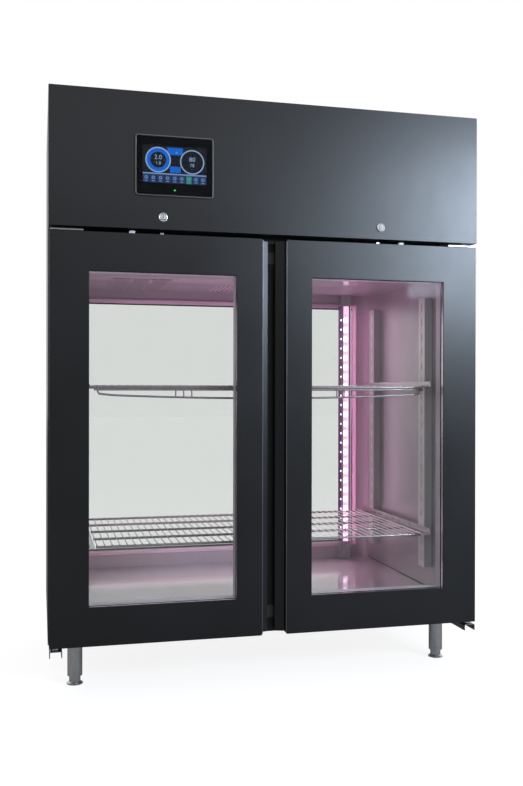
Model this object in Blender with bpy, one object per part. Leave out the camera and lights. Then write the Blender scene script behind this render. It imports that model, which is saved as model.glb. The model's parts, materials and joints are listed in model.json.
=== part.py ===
"""A dry aging cabinet: an insulated steel cabinet on four feet, with two glazed doors below a header
that holds the controls, the locks and the cooling plant, a glazed rear wall and two wire shelves.

Metres, +Z up, doors facing -Y. The origin is on the floor, under the middle of the cabinet.
"""

import math
from collections import namedtuple

import bmesh
import bpy
from mathutils import Matrix, Quaternion, Vector

# Envelope
CABINET_WIDTH = 1.500
CABINET_DEPTH = 0.900
LEG_HEIGHT = 0.152
DOOR_LIFT = 0.008
DOOR_HEIGHT = 1.345
HEADER_GAP = 0.016
HEADER_HEIGHT = 0.450
LOCK_PROUD = 0.008

# Clearance between pieces that touch, and how far a cut runs past what it cuts
FIT = 0.0003
OVERRUN = 0.010

# Walls and sheets
SIDE_WALL = 0.100
FLOOR_WALL = 0.098
CEILING_WALL = 0.111
REAR_WALL = 0.060
CASING_SHEET = 0.0015
BASE_SHEET = 0.003
LINER_SHEET = 0.0015
HEADER_SHEET = 0.002
CASING_RETURN = 0.020
LID_RETURN = 0.020
COVE_RADIUS = 0.030
COVE_STEPS = 4
FRAME_DEPTH = 0.012
FRAME_RISE = 0.040
MULLION_WIDTH = 0.090
MULLION_DEPTH = 0.040
MULLION_CORNER = 0.004

# Doors: a front slab, a frame behind it that also forms the grip strip, a glass unit and a gasket
DOOR_SLAB_DEPTH = 0.040
DOOR_INNER_DEPTH = 0.026
DOOR_SIDE_GAP = 0.003
SLAB_CENTRE_GAP = 0.088
STRIP_CENTRE_GAP = 0.026
GRIP_FALL = 0.009
INNER_SIDE_INSET = 0.002
STILE_INNER = 0.087
STILE_OUTER = 0.125
RAIL_BOTTOM = 0.127
RAIL_TOP = 0.126
GLASS_LIP = 0.002
GLASS_OVERLAP = 0.012
GLAZING_THICKNESS = 0.024
PANE_THICKNESS = 0.004
SPACER_WIDTH = 0.010
BREATHER_WIDTH = 0.003
GASKET_DEPTH = 0.0115
GASKET_WIDTH = 0.022
GASKET_LIP = 0.005
GASKET_SIDE_INSET = 0.0235
GASKET_STRIP_INSET = 0.004
GASKET_END_INSET = 0.030

# Hinges
HINGE_SIDE_INSET = 0.0245
HINGE_FRONT_INSET = 0.025
PIN_RADIUS = 0.006
PIN_ENGAGEMENT = 0.022
BORE_SPARE_DEPTH = 0.001
THRUST_RADIUS = 0.010
ARM_WIDTH = 0.041
ARM_LENGTH = 0.200
ARM_HEIGHT = 0.022
ARM_SHEET = 0.003
ARM_BEND = 0.005
ARM_SIDE_INSET = 0.004
BRACKET_WIDTH = 0.105
BRACKET_SIDE_INSET = 0.005
BRACKET_SHEET = 0.005
BRACKET_LIFT = 0.002
BRACKET_FRONT_INSET = 0.002
BRACKET_FLANGE = 0.049

# Rear window, through the rear wall
REAR_WINDOW_SIDE_INSET = 0.072
REAR_WINDOW_SILL = 0.070
REAR_WINDOW_HEAD = 0.055

# Feet
LEG_RADIUS = 0.025
LEG_WALL = 0.003
LEG_SIDE_INSET = 0.090
LEG_FRONT_INSET = 0.055
LEG_REAR_INSET = 0.070
FOOT_PAD_RADIUS = 0.027
FOOT_PAD_HEIGHT = 0.008
FOOT_NECK_RADIUS = 0.019
FOOT_NECK_HEIGHT = 0.020
FOOT_COLLAR_HEIGHT = 0.010
FOOT_STEM_LENGTH = 0.072
ROUND_STEPS = 20

# Header: display and locks
DISPLAY_X = -0.344
DISPLAY_RISE = 0.209
DISPLAY_WIDTH = 0.260
DISPLAY_HEIGHT = 0.200
DISPLAY_CORNER = 0.010
DISPLAY_RIM = 0.004
DISPLAY_PROUD = 0.006
DISPLAY_GLASS = 0.002
DISPLAY_BOX_WIDTH = 0.230
DISPLAY_BOX_HEIGHT = 0.170
DISPLAY_BOX_DEPTH = 0.045
CORNER_STEPS = 3
LOCK_X = 0.382
LOCK_RISE = 0.040
LOCK_BEZEL_RADIUS = 0.015
LOCK_BEZEL_PROUD = 0.004
LOCK_BARREL_RADIUS = 0.0105
LOCK_BARREL_LENGTH = 0.021
PLUG_RADIUS = 0.008
KEYWAY_WIDTH = 0.0015
KEYWAY_HEIGHT = 0.008
KEYWAY_DEPTH = 0.004
CAM_LENGTH = 0.053
CAM_WIDTH = 0.012
CAM_THICKNESS = 0.003
CAM_CLEARANCE = 0.002
KEEPER_WIDTH = 0.012
KEEPER_DEPTH = 0.006
KEEPER_HEIGHT = 0.010
KEEPER_PLAY = 0.003

# Shelves and what carries them
STANDARD_DEPTH = 0.030
STANDARD_WIDTH = 0.055
STANDARD_SHEET = 0.002
STANDARD_FRONT_INSET = 0.067
STANDARD_REAR_INSET = 0.102
STANDARD_FOOT = 0.080
STANDARD_HEAD = 0.071
STANDARD_SLOTS = 18
SLOT_PITCH = 0.055
SLOT_WIDTH = 0.010
SLOT_HEIGHT = 0.027
RAIL_HEIGHT = 0.023
RAIL_LEDGE = 0.024
RAIL_SHEET = 0.002
RAIL_FRONT_INSET = 0.009
RAIL_REAR_INSET = 0.044
SHELF_RISES = {"lower": 0.213, "upper": 0.755}
SHELF_THICKNESS = 0.004
SHELF_FRONT_PLAY = 0.004
SHELF_REAR_PLAY = 0.004
SHELF_GAPS = 48
SHELF_ROWS = 4
SHELF_BAR = 0.009
SHELF_WIRE = 0.004
TRUSS_ROD = 0.007
TRUSS_END_DROP = 0.025
TRUSS_SAG = 0.013
TRUSS_STEPS = 12

# Light on the rear wall
LED_SIDE_INSET = 0.115
LED_PROFILE_WIDTH = 0.044
LED_PROFILE_DEPTH = 0.040
LED_STRIP_WIDTH = 0.024
LED_STRIP_DEPTH = 0.009

# Cooling plant in the header
EVAP_CASE_X = -0.400
EVAP_CASE_REAR_INSET = 0.274
EVAP_CASE_WIDTH = 0.400
EVAP_CASE_DEPTH = 0.400
EVAP_CASE_HEIGHT = 0.300
EVAP_CASE_WALL = 0.012
AIR_OPENING_WIDTH = 0.180
AIR_OPENING_DEPTH = 0.120
COOLER_WIDTH = 0.330
COOLER_HEIGHT = 0.260
COOLER_FRONT_INSET = 0.150
COIL_DEPTH = 0.050
COWL_DEPTH = 0.035
COIL_FIN = 0.003
COIL_GAPS = 22
COIL_BORDER = 0.012
COOLER_STUB_LENGTH = 0.012
COOLER_STUB_RADIUS = 0.008
SUCTION_RISE = 0.200
LIQUID_RISE = 0.040
PIPE_HOLE_PLAY = 0.0025
COMPRESSOR_X = 0.450
COMPRESSOR_REAR_INSET = 0.304
COMPRESSOR_RADIUS = 0.085
COMPRESSOR_NECK = 0.070
COMPRESSOR_CROWN = 0.045
COMPRESSOR_HEIGHT = 0.190
COMPRESSOR_SHOULDER = 0.026
COMPRESSOR_PLATE_WIDTH = 0.200
COMPRESSOR_PLATE_DEPTH = 0.160
COMPRESSOR_PLATE = 0.004
COMPRESSOR_STUB_LENGTH = 0.015
COMPRESSOR_STUB_RADIUS = 0.009
COMPRESSOR_SUCTION_RISE = 0.140
COMPRESSOR_DISCHARGE_RISE = 0.110
CONDENSER_X = 0.110
CONDENSER_REAR_INSET = 0.084
CONDENSER_WIDTH = 0.320
CONDENSER_DEPTH = 0.060
CONDENSER_HEIGHT = 0.280
CONDENSER_GAPS = 24
CONDENSER_STUB_LENGTH = 0.015
CONDENSER_STUB_RADIUS = 0.007
CONDENSER_INLET_RISE = 0.240
CONDENSER_OUTLET_RISE = 0.040
SHROUD_WIDTH = 0.300
SHROUD_HEIGHT = 0.270
SHROUD_DEPTH = 0.050
SPOKE_WIDTH = 0.010
SPOKE_DEPTH = 0.008
MOTOR_RADIUS = 0.026
MOTOR_LENGTH = 0.022
SHAFT_RADIUS = 0.003
SHAFT_LENGTH = 0.014
FAN_TIP_PLAY = 0.005
CONDENSER_FAN_RADIUS = 0.115
EVAPORATOR_FAN_RADIUS = 0.095
HUB_RADIUS = 0.028
HUB_LENGTH = 0.022
HUB_WALL = 0.004
FAN_BLADES = 5
BLADE_CHORD = 0.030
BLADE_THICKNESS = 0.002
BLADE_ROOT_BURY = 0.003
BLADE_PITCH = math.radians(30)
SUCTION_PIPE_RADIUS = 0.006
DISCHARGE_PIPE_RADIUS = 0.005
LIQUID_PIPE_RADIUS = 0.004
PIPE_BEND = 0.022
LIQUID_PIPE_BEND = 0.012
BEND_STEPS = 4
SUCTION_DROP_X = 0.250
SUCTION_TURN_X = -0.090
SUCTION_CREST_RISE = 0.285
LIQUID_TURN_X = 0.313

# Rear of the header
LOUVRE_COLUMNS = 8
LOUVRE_ROWS = 4
LOUVRE_WIDTH = 0.100
LOUVRE_HEIGHT = 0.006
LOUVRE_PITCH_X = 0.125
LOUVRE_PITCH_Z = 0.030
LOUVRE_RISE = 0.240
INLET_SIDE_INSET = 0.150
INLET_RISE = 0.080
INLET_FLANGE_WIDTH = 0.060
INLET_FLANGE_HEIGHT = 0.036
INLET_BODY_WIDTH = 0.048
INLET_BODY_HEIGHT = 0.027
INLET_BODY_DEPTH = 0.026
INLET_SOCKET_WIDTH = 0.028
INLET_SOCKET_HEIGHT = 0.018
INLET_SOCKET_DEPTH = 0.016

# Where the walls and the layers of the front lie
HALF_WIDTH = CABINET_WIDTH / 2
FRONT = (LOCK_PROUD - CABINET_DEPTH) / 2
REAR = FRONT + CABINET_DEPTH
BODY_BOTTOM = LEG_HEIGHT
DOOR_BOTTOM = BODY_BOTTOM + DOOR_LIFT
DOOR_TOP = DOOR_BOTTOM + DOOR_HEIGHT
DECK_TOP = DOOR_TOP + HEADER_GAP
CABINET_TOP = DECK_TOP + HEADER_HEIGHT
SLAB_REAR = FRONT + DOOR_SLAB_DEPTH
INNER_FRAME_FRONT = SLAB_REAR + FIT
INNER_FRAME_REAR = INNER_FRAME_FRONT + DOOR_INNER_DEPTH
GASKET_FRONT = INNER_FRAME_REAR + FIT
GASKET_REAR = GASKET_FRONT + GASKET_DEPTH
FACE = GASKET_REAR + FIT
PAN_REAR = FACE - FIT
BODY_FRONT = FACE + FRAME_DEPTH + FIT
INSIDE_HALF = HALF_WIDTH - CASING_SHEET - FIT
BACK_SHEET_REAR = REAR - CASING_SHEET - FIT
BACK_SHEET_FRONT = BACK_SHEET_REAR - CASING_SHEET
BODY_REAR = BACK_SHEET_FRONT - FIT
INNER_HALF = HALF_WIDTH - SIDE_WALL
INNER_FLOOR = BODY_BOTTOM + FLOOR_WALL
INNER_CEILING = DECK_TOP - CEILING_WALL
INNER_REAR = REAR - REAR_WALL
MULLION_REAR = FACE + MULLION_DEPTH
FRAME_TOP = DECK_TOP + FRAME_RISE
PLANT_FLOOR = DECK_TOP + FIT
GLASS_FRONT = INNER_REAR + LINER_SHEET + FIT
GLASS_REAR = GLASS_FRONT + GLAZING_THICKNESS
HINGE_X = HALF_WIDTH - HINGE_SIDE_INSET
HINGE_Y = FRONT + HINGE_FRONT_INSET
LEG_X = HALF_WIDTH - LEG_SIDE_INSET
LEG_FRONT_Y = BODY_FRONT + LEG_FRONT_INSET
LEG_REAR_Y = BODY_REAR - LEG_REAR_INSET
FOOT_TOP = FOOT_PAD_HEIGHT + FOOT_NECK_HEIGHT + FOOT_COLLAR_HEIGHT
LOCK_Z = DECK_TOP + LOCK_RISE
CAM_FRONT = FRONT + LOCK_BARREL_LENGTH + FIT
CAM_REAR = CAM_FRONT + CAM_THICKNESS
DISPLAY_Z = DECK_TOP + DISPLAY_RISE
DISPLAY_FACE = FRONT - FIT - DISPLAY_PROUD
STANDARD_INNER = INNER_HALF - FIT - STANDARD_DEPTH
RAIL_OUTER = STANDARD_INNER - FIT
LED_FRONT = INNER_REAR - FIT - LED_PROFILE_DEPTH
SHELF_FRONT = MULLION_REAR + SHELF_FRONT_PLAY
SHELF_REAR = LED_FRONT - SHELF_REAR_PLAY
LED_X = INNER_HALF - LED_SIDE_INSET
EVAP_CASE_Y = REAR - EVAP_CASE_REAR_INSET
COMPRESSOR_Y = REAR - COMPRESSOR_REAR_INSET
CONDENSER_Y = REAR - CONDENSER_REAR_INSET
INLET_X = HALF_WIDTH - INLET_SIDE_INSET
COOLER_FRONT = EVAP_CASE_Y - EVAP_CASE_DEPTH / 2 + COOLER_FRONT_INSET
COIL_REAR = COOLER_FRONT + COIL_DEPTH
COOLER_REAR = COIL_REAR + COWL_DEPTH
CONDENSER_FRONT = CONDENSER_Y - CONDENSER_DEPTH / 2
SHROUD_REAR = CONDENSER_FRONT - FIT
SHROUD_FRONT = SHROUD_REAR - SHROUD_DEPTH

SIDES = {"left": -1, "right": 1}
STATIONS = ("front", "rear")

# Base colour, roughness and metallic value of each finish
FINISHES = {
    "black paint": ((0.022, 0.024, 0.028), 0.38, 0.10),
    "black sheet": ((0.012, 0.012, 0.013), 0.55, 0.20),
    "stainless": ((0.62, 0.62, 0.63), 0.28, 1.00),
    "bright liner": ((0.70, 0.66, 0.68), 0.16, 1.00),
    "zinc": ((0.58, 0.59, 0.60), 0.36, 1.00),
    "aluminium": ((0.74, 0.75, 0.76), 0.32, 1.00),
    "chrome": ((0.80, 0.80, 0.81), 0.10, 1.00),
    "grey plastic": ((0.42, 0.44, 0.47), 0.48, 0.00),
    "dark plastic": ((0.020, 0.020, 0.022), 0.50, 0.00),
    "rubber": ((0.016, 0.016, 0.017), 0.75, 0.00),
    "foam": ((0.78, 0.70, 0.50), 0.90, 0.00),
    "glass": ((0.80, 0.86, 0.88), 0.04, 0.00),
    "screen glass": ((0.010, 0.012, 0.020), 0.06, 0.00),
    "light": ((0.96, 0.78, 0.92), 0.30, 0.00),
    "copper": ((0.72, 0.38, 0.25), 0.30, 1.00),
}

Rect = namedtuple("Rect", "left bottom right top")

# Which of X, Y and Z the two directions of an outline and its run lie along
RUNS = {"X": "YZX", "Y": "XZY", "Z": "XYZ"}


def rect(a, b, c, d):
    """A rectangle from two opposite corners (a, b) and (c, d)."""
    return Rect(min(a, c), min(b, d), max(a, c), max(b, d))


def centred(middle_a, middle_b, width, height):
    """A rectangle about a middle point."""
    return rect(
        middle_a - width / 2,
        middle_b - height / 2,
        middle_a + width / 2,
        middle_b + height / 2,
    )


def grown(area, margin):
    """The same rectangle with each edge moved out by margin, or in where it is negative."""
    return Rect(
        area.left - margin, area.bottom - margin, area.right + margin, area.top + margin
    )


def corners(area):
    """The corners of a rectangle, in order."""
    return [
        (area.left, area.bottom),
        (area.right, area.bottom),
        (area.right, area.top),
        (area.left, area.top),
    ]


def rounded(area, radius):
    """The outline of a rectangle with round corners."""
    centres = corners(grown(area, -radius))
    points = []
    for quarter, (a, b) in enumerate(centres):
        for step in range(CORNER_STEPS + 1):
            turn = math.pi / 2 * (quarter - 2 + step / CORNER_STEPS)
            points.append((a + radius * math.cos(turn), b + radius * math.sin(turn)))
    return points


def circle(middle, radius):
    """The outline of a round section."""
    turns = [2 * math.pi * step / ROUND_STEPS for step in range(ROUND_STEPS)]
    return [
        (middle[0] + radius * math.cos(turn), middle[1] + radius * math.sin(turn))
        for turn in turns
    ]


def mirrored(side, outline):
    """An outline drawn for the right side, with its first coordinate turned over for the left."""
    return [(side * a, b) for a, b in outline]


def at(run, a, b, along):
    """The point in space of an outline's point (a, b) at one place along its run."""
    found = dict(zip(RUNS[run], (a, b, along)))
    return [found[axis] for axis in "XYZ"]


def bridged(bm, run, sections, closed=False):
    """Bridges outlines of as many points each, capped at both ends or closed round a hole."""
    loops = [
        [bm.verts.new(at(run, a, b, along)) for a, b in outline] for outline, along in sections
    ]
    if closed:
        loops.append(loops[0])
    else:
        bm.faces.new(loops[0])
        bm.faces.new(loops[-1])
    for first, second in zip(loops, loops[1:]):
        for step in range(len(first)):
            bm.faces.new((first[step - 1], first[step], second[step], second[step - 1]))


def prism(bm, run, outline, low, high):
    """An outline extruded from low to high."""
    bridged(bm, run, [(outline, low), (outline, high)])


def box(bm, low, high):
    """A block between two opposite corners."""
    low, high = Vector(low), Vector(high)
    shape = Matrix.Translation((low + high) / 2) @ Matrix.Diagonal((high - low).to_4d())
    shape[3][3] = 1
    bmesh.ops.create_cube(bm, size=1, matrix=shape)


def ring(bm, run, outer, inner, low, high):
    """A frame of even depth round a hole."""
    sections = [(outer, low), (outer, high), (inner, high), (inner, low)]
    bridged(bm, run, sections, closed=True)


def turned(bm, run, middle, profile, closed=False):
    """A round body from (radius, place along its run) pairs, or a round ring where closed."""
    sections = [(circle(middle, radius), along) for radius, along in profile]
    bridged(bm, run, sections, closed)


def strips(low, high, gaps, web):
    """Cuts across a span that give even gaps between webs of one width, a web at each end."""
    pitch = (high - low - web) / gaps
    edges = []
    for step in range(gaps + 1):
        edges += [low + step * pitch, low + step * pitch + web]
    return edges


def grid(bm, run, a_edges, b_edges, low, high):
    """A plate between low and high, open in each cell that is odd in both directions."""
    points = {}
    for i, a in enumerate(a_edges):
        for j, b in enumerate(b_edges):
            points[i, j] = bm.verts.new(at(run, a, b, low))
    faces = []
    for i in range(len(a_edges) - 1):
        for j in range(len(b_edges) - 1):
            if i % 2 and j % 2:
                continue
            cell = [points[i, j], points[i + 1, j], points[i + 1, j + 1], points[i, j + 1]]
            faces.append(bm.faces.new(cell))
    made = bmesh.ops.extrude_face_region(bm, geom=faces)["geom"]
    raised = [part for part in made if isinstance(part, bmesh.types.BMVert)]
    bmesh.ops.translate(bm, verts=raised, vec=at(run, 0, 0, high - low))


def finish(name, look):
    """The node's own material."""
    colour, roughness, metallic = FINISHES[look]
    material = bpy.data.materials.new(name + "_finish")
    material.use_nodes = True
    shader = material.node_tree.nodes["Principled BSDF"]
    shader.inputs["Base Color"].default_value = (*colour, 1)
    shader.inputs["Roughness"].default_value = roughness
    shader.inputs["Metallic"].default_value = metallic
    if look == "glass":
        shader.inputs["Transmission Weight"].default_value = 1
    material.diffuse_color = (*colour, 1)
    return material


def middle_of(bm):
    """The middle of the box round a mesh."""
    spans = [[vert.co[axis] for vert in bm.verts] for axis in range(3)]
    return Vector([(min(span) + max(span)) / 2 for span in spans])


def meshed(name, bm):
    """A mesh with every face pointing out of the solid."""
    bmesh.ops.recalc_face_normals(bm, faces=bm.faces)
    if bm.calc_volume(signed=True) < 0:
        bmesh.ops.reverse_faces(bm, faces=bm.faces)
    mesh = bpy.data.meshes.new(name)
    bm.to_mesh(mesh)
    bm.free()
    return mesh


def piece(name, bm, look, pivot=None, parent=None):
    """Makes a named object of a mesh drawn in world coordinates, its origin at pivot or its middle."""
    pivot = Vector(pivot) if pivot else middle_of(bm)
    bmesh.ops.translate(bm, verts=bm.verts, vec=-pivot)
    mesh = meshed(name, bm)
    mesh.shade_smooth()
    mesh.set_sharp_from_angle(angle=math.radians(30))
    mesh.materials.append(finish(name, look))
    obj = bpy.data.objects.new(name, mesh)
    bpy.context.scene.collection.objects.link(obj)
    obj.location = pivot
    if parent:
        obj.parent = parent
        obj.location = pivot - parent.location
    return obj


def combine(obj, bm, operation):
    """Adds a Boolean to an object, with a hidden helper drawn in world coordinates."""
    name = f"{obj.name}_{operation.lower()}_{len(obj.modifiers)}"
    helper = bpy.data.objects.new(name, meshed(name, bm))
    helper.hide_render = True
    helper.display_type = "WIRE"
    bpy.context.scene.collection.objects.link(helper)
    modifier = obj.modifiers.new(name, "BOOLEAN")
    modifier.operation = operation
    modifier.object = helper


def cut(obj, bm):
    combine(obj, bm, "DIFFERENCE")


def join(obj, bm):
    combine(obj, bm, "UNION")


def pivot_empty(name, place):
    """An empty on a joint's axis, which the pieces of a moving body hang from."""
    empty = bpy.data.objects.new(name, None)
    empty.location = place
    bpy.context.scene.collection.objects.link(empty)
    return empty


def make_base_tray():
    bm = bmesh.new()
    box(
        bm,
        (-INSIDE_HALF, BODY_FRONT, BODY_BOTTOM),
        (INSIDE_HALF, BODY_REAR, BODY_BOTTOM + BASE_SHEET),
    )
    tray = piece("base_tray", bm, "stainless")
    tubes, bores = bmesh.new(), bmesh.new()
    for side in SIDES.values():
        for y in (LEG_FRONT_Y, LEG_REAR_Y):
            middle = (side * LEG_X, y)
            foot = FOOT_TOP + FIT
            turned(
                tubes,
                "Z",
                middle,
                [(LEG_RADIUS, foot), (LEG_RADIUS, BODY_BOTTOM + BASE_SHEET / 2)],
            )
            bore = LEG_RADIUS - LEG_WALL
            turned(bores, "Z", middle, [(bore, foot - OVERRUN), (bore, BODY_BOTTOM)])
    join(tray, tubes)
    cut(tray, bores)


def make_side_casing(name, side):
    outer, inner = HALF_WIDTH, HALF_WIDTH - CASING_SHEET
    lip = HALF_WIDTH - CASING_RETURN
    outline = [
        (outer, FACE),
        (outer, REAR),
        (lip, REAR),
        (lip, REAR - CASING_SHEET),
        (inner, REAR - CASING_SHEET),
        (inner, FACE),
    ]
    bm = bmesh.new()
    prism(bm, "Z", mirrored(side, outline), BODY_BOTTOM, CABINET_TOP)
    piece(name + "_side_casing", bm, "black paint")


def rear_window():
    """The clear opening through the rear wall."""
    half = INNER_HALF - REAR_WINDOW_SIDE_INSET
    return rect(
        -half, INNER_FLOOR + REAR_WINDOW_SILL, half, INNER_CEILING - REAR_WINDOW_HEAD
    )


def make_rear_casing():
    outer = rect(-INSIDE_HALF, BODY_BOTTOM, INSIDE_HALF, DECK_TOP - FIT)
    opening = rear_window()
    reveal = grown(opening, CASING_SHEET)
    reveal_front = GLASS_REAR + FIT
    bm = bmesh.new()
    sections = [
        (corners(outer), BACK_SHEET_REAR),
        (corners(outer), BACK_SHEET_FRONT),
        (corners(reveal), BACK_SHEET_FRONT),
        (corners(reveal), reveal_front),
        (corners(opening), reveal_front),
        (corners(opening), BACK_SHEET_REAR),
    ]
    bridged(bm, "Y", sections, closed=True)
    piece("rear_casing", bm, "black sheet")


def cavity(margin):
    """Sections of the inner room from its mouth to its rear wall, its upright corners coved, and
    every wall set back by margin."""
    radius = COVE_RADIUS + margin
    half = INNER_HALF + margin
    floor, ceiling = INNER_FLOOR - margin, INNER_CEILING + margin
    rear = INNER_REAR + margin
    sections = [(corners(rect(-half, floor, half, ceiling)), BODY_FRONT)]
    for step in range(COVE_STEPS + 1):
        turn = math.pi / 2 * step / COVE_STEPS
        reach = half - radius + radius * math.cos(turn)
        along = rear - radius + radius * math.sin(turn)
        sections.append((corners(rect(-reach, floor, reach, ceiling)), along))
    return sections


def cut_air_openings(obj):
    """The two openings through the ceiling, one on each side of the cooler."""
    bm = bmesh.new()
    case_front = EVAP_CASE_Y - EVAP_CASE_DEPTH / 2 + EVAP_CASE_WALL
    case_rear = EVAP_CASE_Y + EVAP_CASE_DEPTH / 2 - EVAP_CASE_WALL
    for y in ((case_front + COOLER_FRONT) / 2, (case_rear + COOLER_REAR) / 2):
        area = centred(EVAP_CASE_X, y, AIR_OPENING_WIDTH, AIR_OPENING_DEPTH)
        prism(bm, "Z", corners(area), INNER_CEILING - OVERRUN, DECK_TOP + OVERRUN)
    cut(obj, bm)


def make_insulation():
    outer = rect(
        -INSIDE_HALF,
        BODY_BOTTOM + BASE_SHEET + FIT,
        INSIDE_HALF,
        DECK_TOP - CASING_SHEET - FIT,
    )
    glass = grown(rear_window(), GLASS_OVERLAP + FIT)
    reveal = grown(rear_window(), CASING_SHEET + FIT)
    step = GLASS_REAR + FIT
    bm = bmesh.new()
    sections = cavity(LINER_SHEET + FIT)
    sections += [
        (corners(glass), sections[-1][1]),
        (corners(glass), step),
        (corners(reveal), step),
        (corners(reveal), BODY_REAR),
        (corners(outer), BODY_REAR),
        (corners(outer), BODY_FRONT),
    ]
    bridged(bm, "Y", sections, closed=True)
    foam = piece("insulation_foam", bm, "foam")
    cut_air_openings(foam)


def make_inner_liner():
    opening = corners(rear_window())
    bm = bmesh.new()
    sections = cavity(0)
    sections += [(opening, INNER_REAR), (opening, INNER_REAR + LINER_SHEET)]
    sections += reversed(cavity(LINER_SHEET))
    bridged(bm, "Y", sections, closed=True)
    liner = piece("inner_liner", bm, "bright liner")
    cut_air_openings(liner)


def make_front_frame():
    outer = rect(-INSIDE_HALF, BODY_BOTTOM, INSIDE_HALF, FRAME_TOP)
    inner = rect(-INNER_HALF, INNER_FLOOR, INNER_HALF, INNER_CEILING)
    bm = bmesh.new()
    ring(bm, "Y", corners(outer), corners(inner), FACE, FACE + FRAME_DEPTH)
    piece("front_frame", bm, "black sheet")


def make_centre_mullion():
    half = MULLION_WIDTH / 2
    outline = rounded(rect(-half, FACE, half, MULLION_REAR), MULLION_CORNER)
    bm = bmesh.new()
    prism(bm, "Z", outline, INNER_FLOOR + FIT, INNER_CEILING - FIT)
    piece("centre_mullion", bm, "black sheet")


def make_glass_unit(name, area, front, pivot=None, parent=None):
    """Two panes on a spacer, its hollow open through a small filling hole in the lower edge."""
    bm = bmesh.new()
    prism(bm, "Y", corners(area), front, front + GLAZING_THICKNESS)
    unit = piece(name, bm, "glass", pivot, parent)
    hollow = grown(area, -SPACER_WIDTH)
    back = front + GLAZING_THICKNESS - PANE_THICKNESS
    bm = bmesh.new()
    prism(bm, "Y", corners(hollow), front + PANE_THICKNESS, back)
    cut(unit, bm)
    across = (area.left + area.right) / 2
    deep = front + GLAZING_THICKNESS / 2
    hole = centred(across, deep, BREATHER_WIDTH, BREATHER_WIDTH)
    bm = bmesh.new()
    prism(bm, "Z", corners(hole), area.bottom - OVERRUN, area.bottom + SPACER_WIDTH + OVERRUN)
    cut(unit, bm)


def make_rear_glazing():
    make_glass_unit("rear_glazing", grown(rear_window(), GLASS_OVERLAP), GLASS_FRONT)


def make_plant_deck():
    bm = bmesh.new()
    box(
        bm,
        (-INSIDE_HALF, BODY_FRONT, DECK_TOP - CASING_SHEET),
        (INSIDE_HALF, BODY_REAR, DECK_TOP),
    )
    deck = piece("plant_deck", bm, "zinc")
    cut_air_openings(deck)


def bracket_area(side):
    """Where the top hinge bracket lies, from side to side, with its near and far edge."""
    far = HALF_WIDTH - BRACKET_SIDE_INSET
    return side * (far - BRACKET_WIDTH), side * far


def make_header_panel():
    outer = rect(-HALF_WIDTH, DECK_TOP, HALF_WIDTH, CABINET_TOP)
    inner = grown(outer, -HEADER_SHEET)
    bm = bmesh.new()
    sections = [
        (corners(outer), FRONT),
        (corners(outer), PAN_REAR),
        (corners(inner), PAN_REAR),
        (corners(inner), FRONT + HEADER_SHEET),
    ]
    bridged(bm, "Y", sections)
    panel = piece("header_panel", bm, "black paint")
    cuts = bmesh.new()
    hole = centred(DISPLAY_X, DISPLAY_Z, DISPLAY_BOX_WIDTH, DISPLAY_BOX_HEIGHT)
    ends = (FRONT - OVERRUN, FRONT + HEADER_SHEET + OVERRUN)
    prism(cuts, "Y", corners(grown(hole, FIT)), *ends)
    low, high = DECK_TOP - OVERRUN, DECK_TOP + HEADER_SHEET + OVERRUN
    flange_front = PAN_REAR - BRACKET_SHEET - FIT
    reach = math.hypot(CAM_LENGTH, CAM_WIDTH / 2)
    swing = math.sqrt(reach**2 - (LOCK_RISE - HEADER_SHEET) ** 2)
    for side in SIDES.values():
        lock = (side * LOCK_X, LOCK_Z)
        hole_radius = LOCK_BARREL_RADIUS + FIT
        turned(cuts, "Y", lock, [(hole_radius, ends[0]), (hole_radius, ends[1])])
        near, far = bracket_area(side)
        notch = rect(near - side * FIT, flange_front, far + side * FIT, PAN_REAR + OVERRUN)
        prism(cuts, "Z", corners(notch), low, high)
        inward = -side
        slot = rect(
            side * LOCK_X - inward * (CAM_WIDTH / 2 + CAM_CLEARANCE),
            CAM_FRONT - CAM_CLEARANCE,
            side * LOCK_X + inward * (swing + CAM_CLEARANCE),
            CAM_REAR + CAM_CLEARANCE,
        )
        prism(cuts, "Z", corners(slot), low, high)
    cut(panel, cuts)


def make_top_cover():
    outer = rect(-INSIDE_HALF, FACE, INSIDE_HALF, BACK_SHEET_REAR)
    inner = grown(outer, -CASING_SHEET)
    rim = CABINET_TOP - LID_RETURN
    bm = bmesh.new()
    sections = [
        (corners(outer), CABINET_TOP),
        (corners(outer), rim),
        (corners(inner), rim),
        (corners(inner), CABINET_TOP - CASING_SHEET),
    ]
    bridged(bm, "Z", sections)
    piece("top_cover", bm, "black sheet")


def even_slots(first, pitch, count, width, low, high):
    """Cuts across a span with a run of slots of one width, which start at first."""
    edges = [low]
    for step in range(count):
        edges += [first + step * pitch, first + step * pitch + width]
    return edges + [high]


def make_rear_grille():
    run_x = (LOUVRE_COLUMNS - 1) * LOUVRE_PITCH_X + LOUVRE_WIDTH
    rim = CABINET_TOP - LID_RETURN - FIT
    bm = bmesh.new()
    a_edges = even_slots(
        -run_x / 2, LOUVRE_PITCH_X, LOUVRE_COLUMNS, LOUVRE_WIDTH, -INSIDE_HALF, INSIDE_HALF
    )
    b_edges = even_slots(
        DECK_TOP + LOUVRE_RISE, LOUVRE_PITCH_Z, LOUVRE_ROWS, LOUVRE_HEIGHT, DECK_TOP, rim
    )
    grid(bm, "Y", a_edges, b_edges, BACK_SHEET_FRONT, BACK_SHEET_REAR)
    grille = piece("rear_grille", bm, "black sheet")
    hole = centred(INLET_X, DECK_TOP + INLET_RISE, INLET_BODY_WIDTH, INLET_BODY_HEIGHT)
    bm = bmesh.new()
    ends = (BACK_SHEET_FRONT - OVERRUN, BACK_SHEET_REAR + OVERRUN)
    prism(bm, "Y", corners(grown(hole, FIT)), *ends)
    cut(grille, bm)


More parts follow.
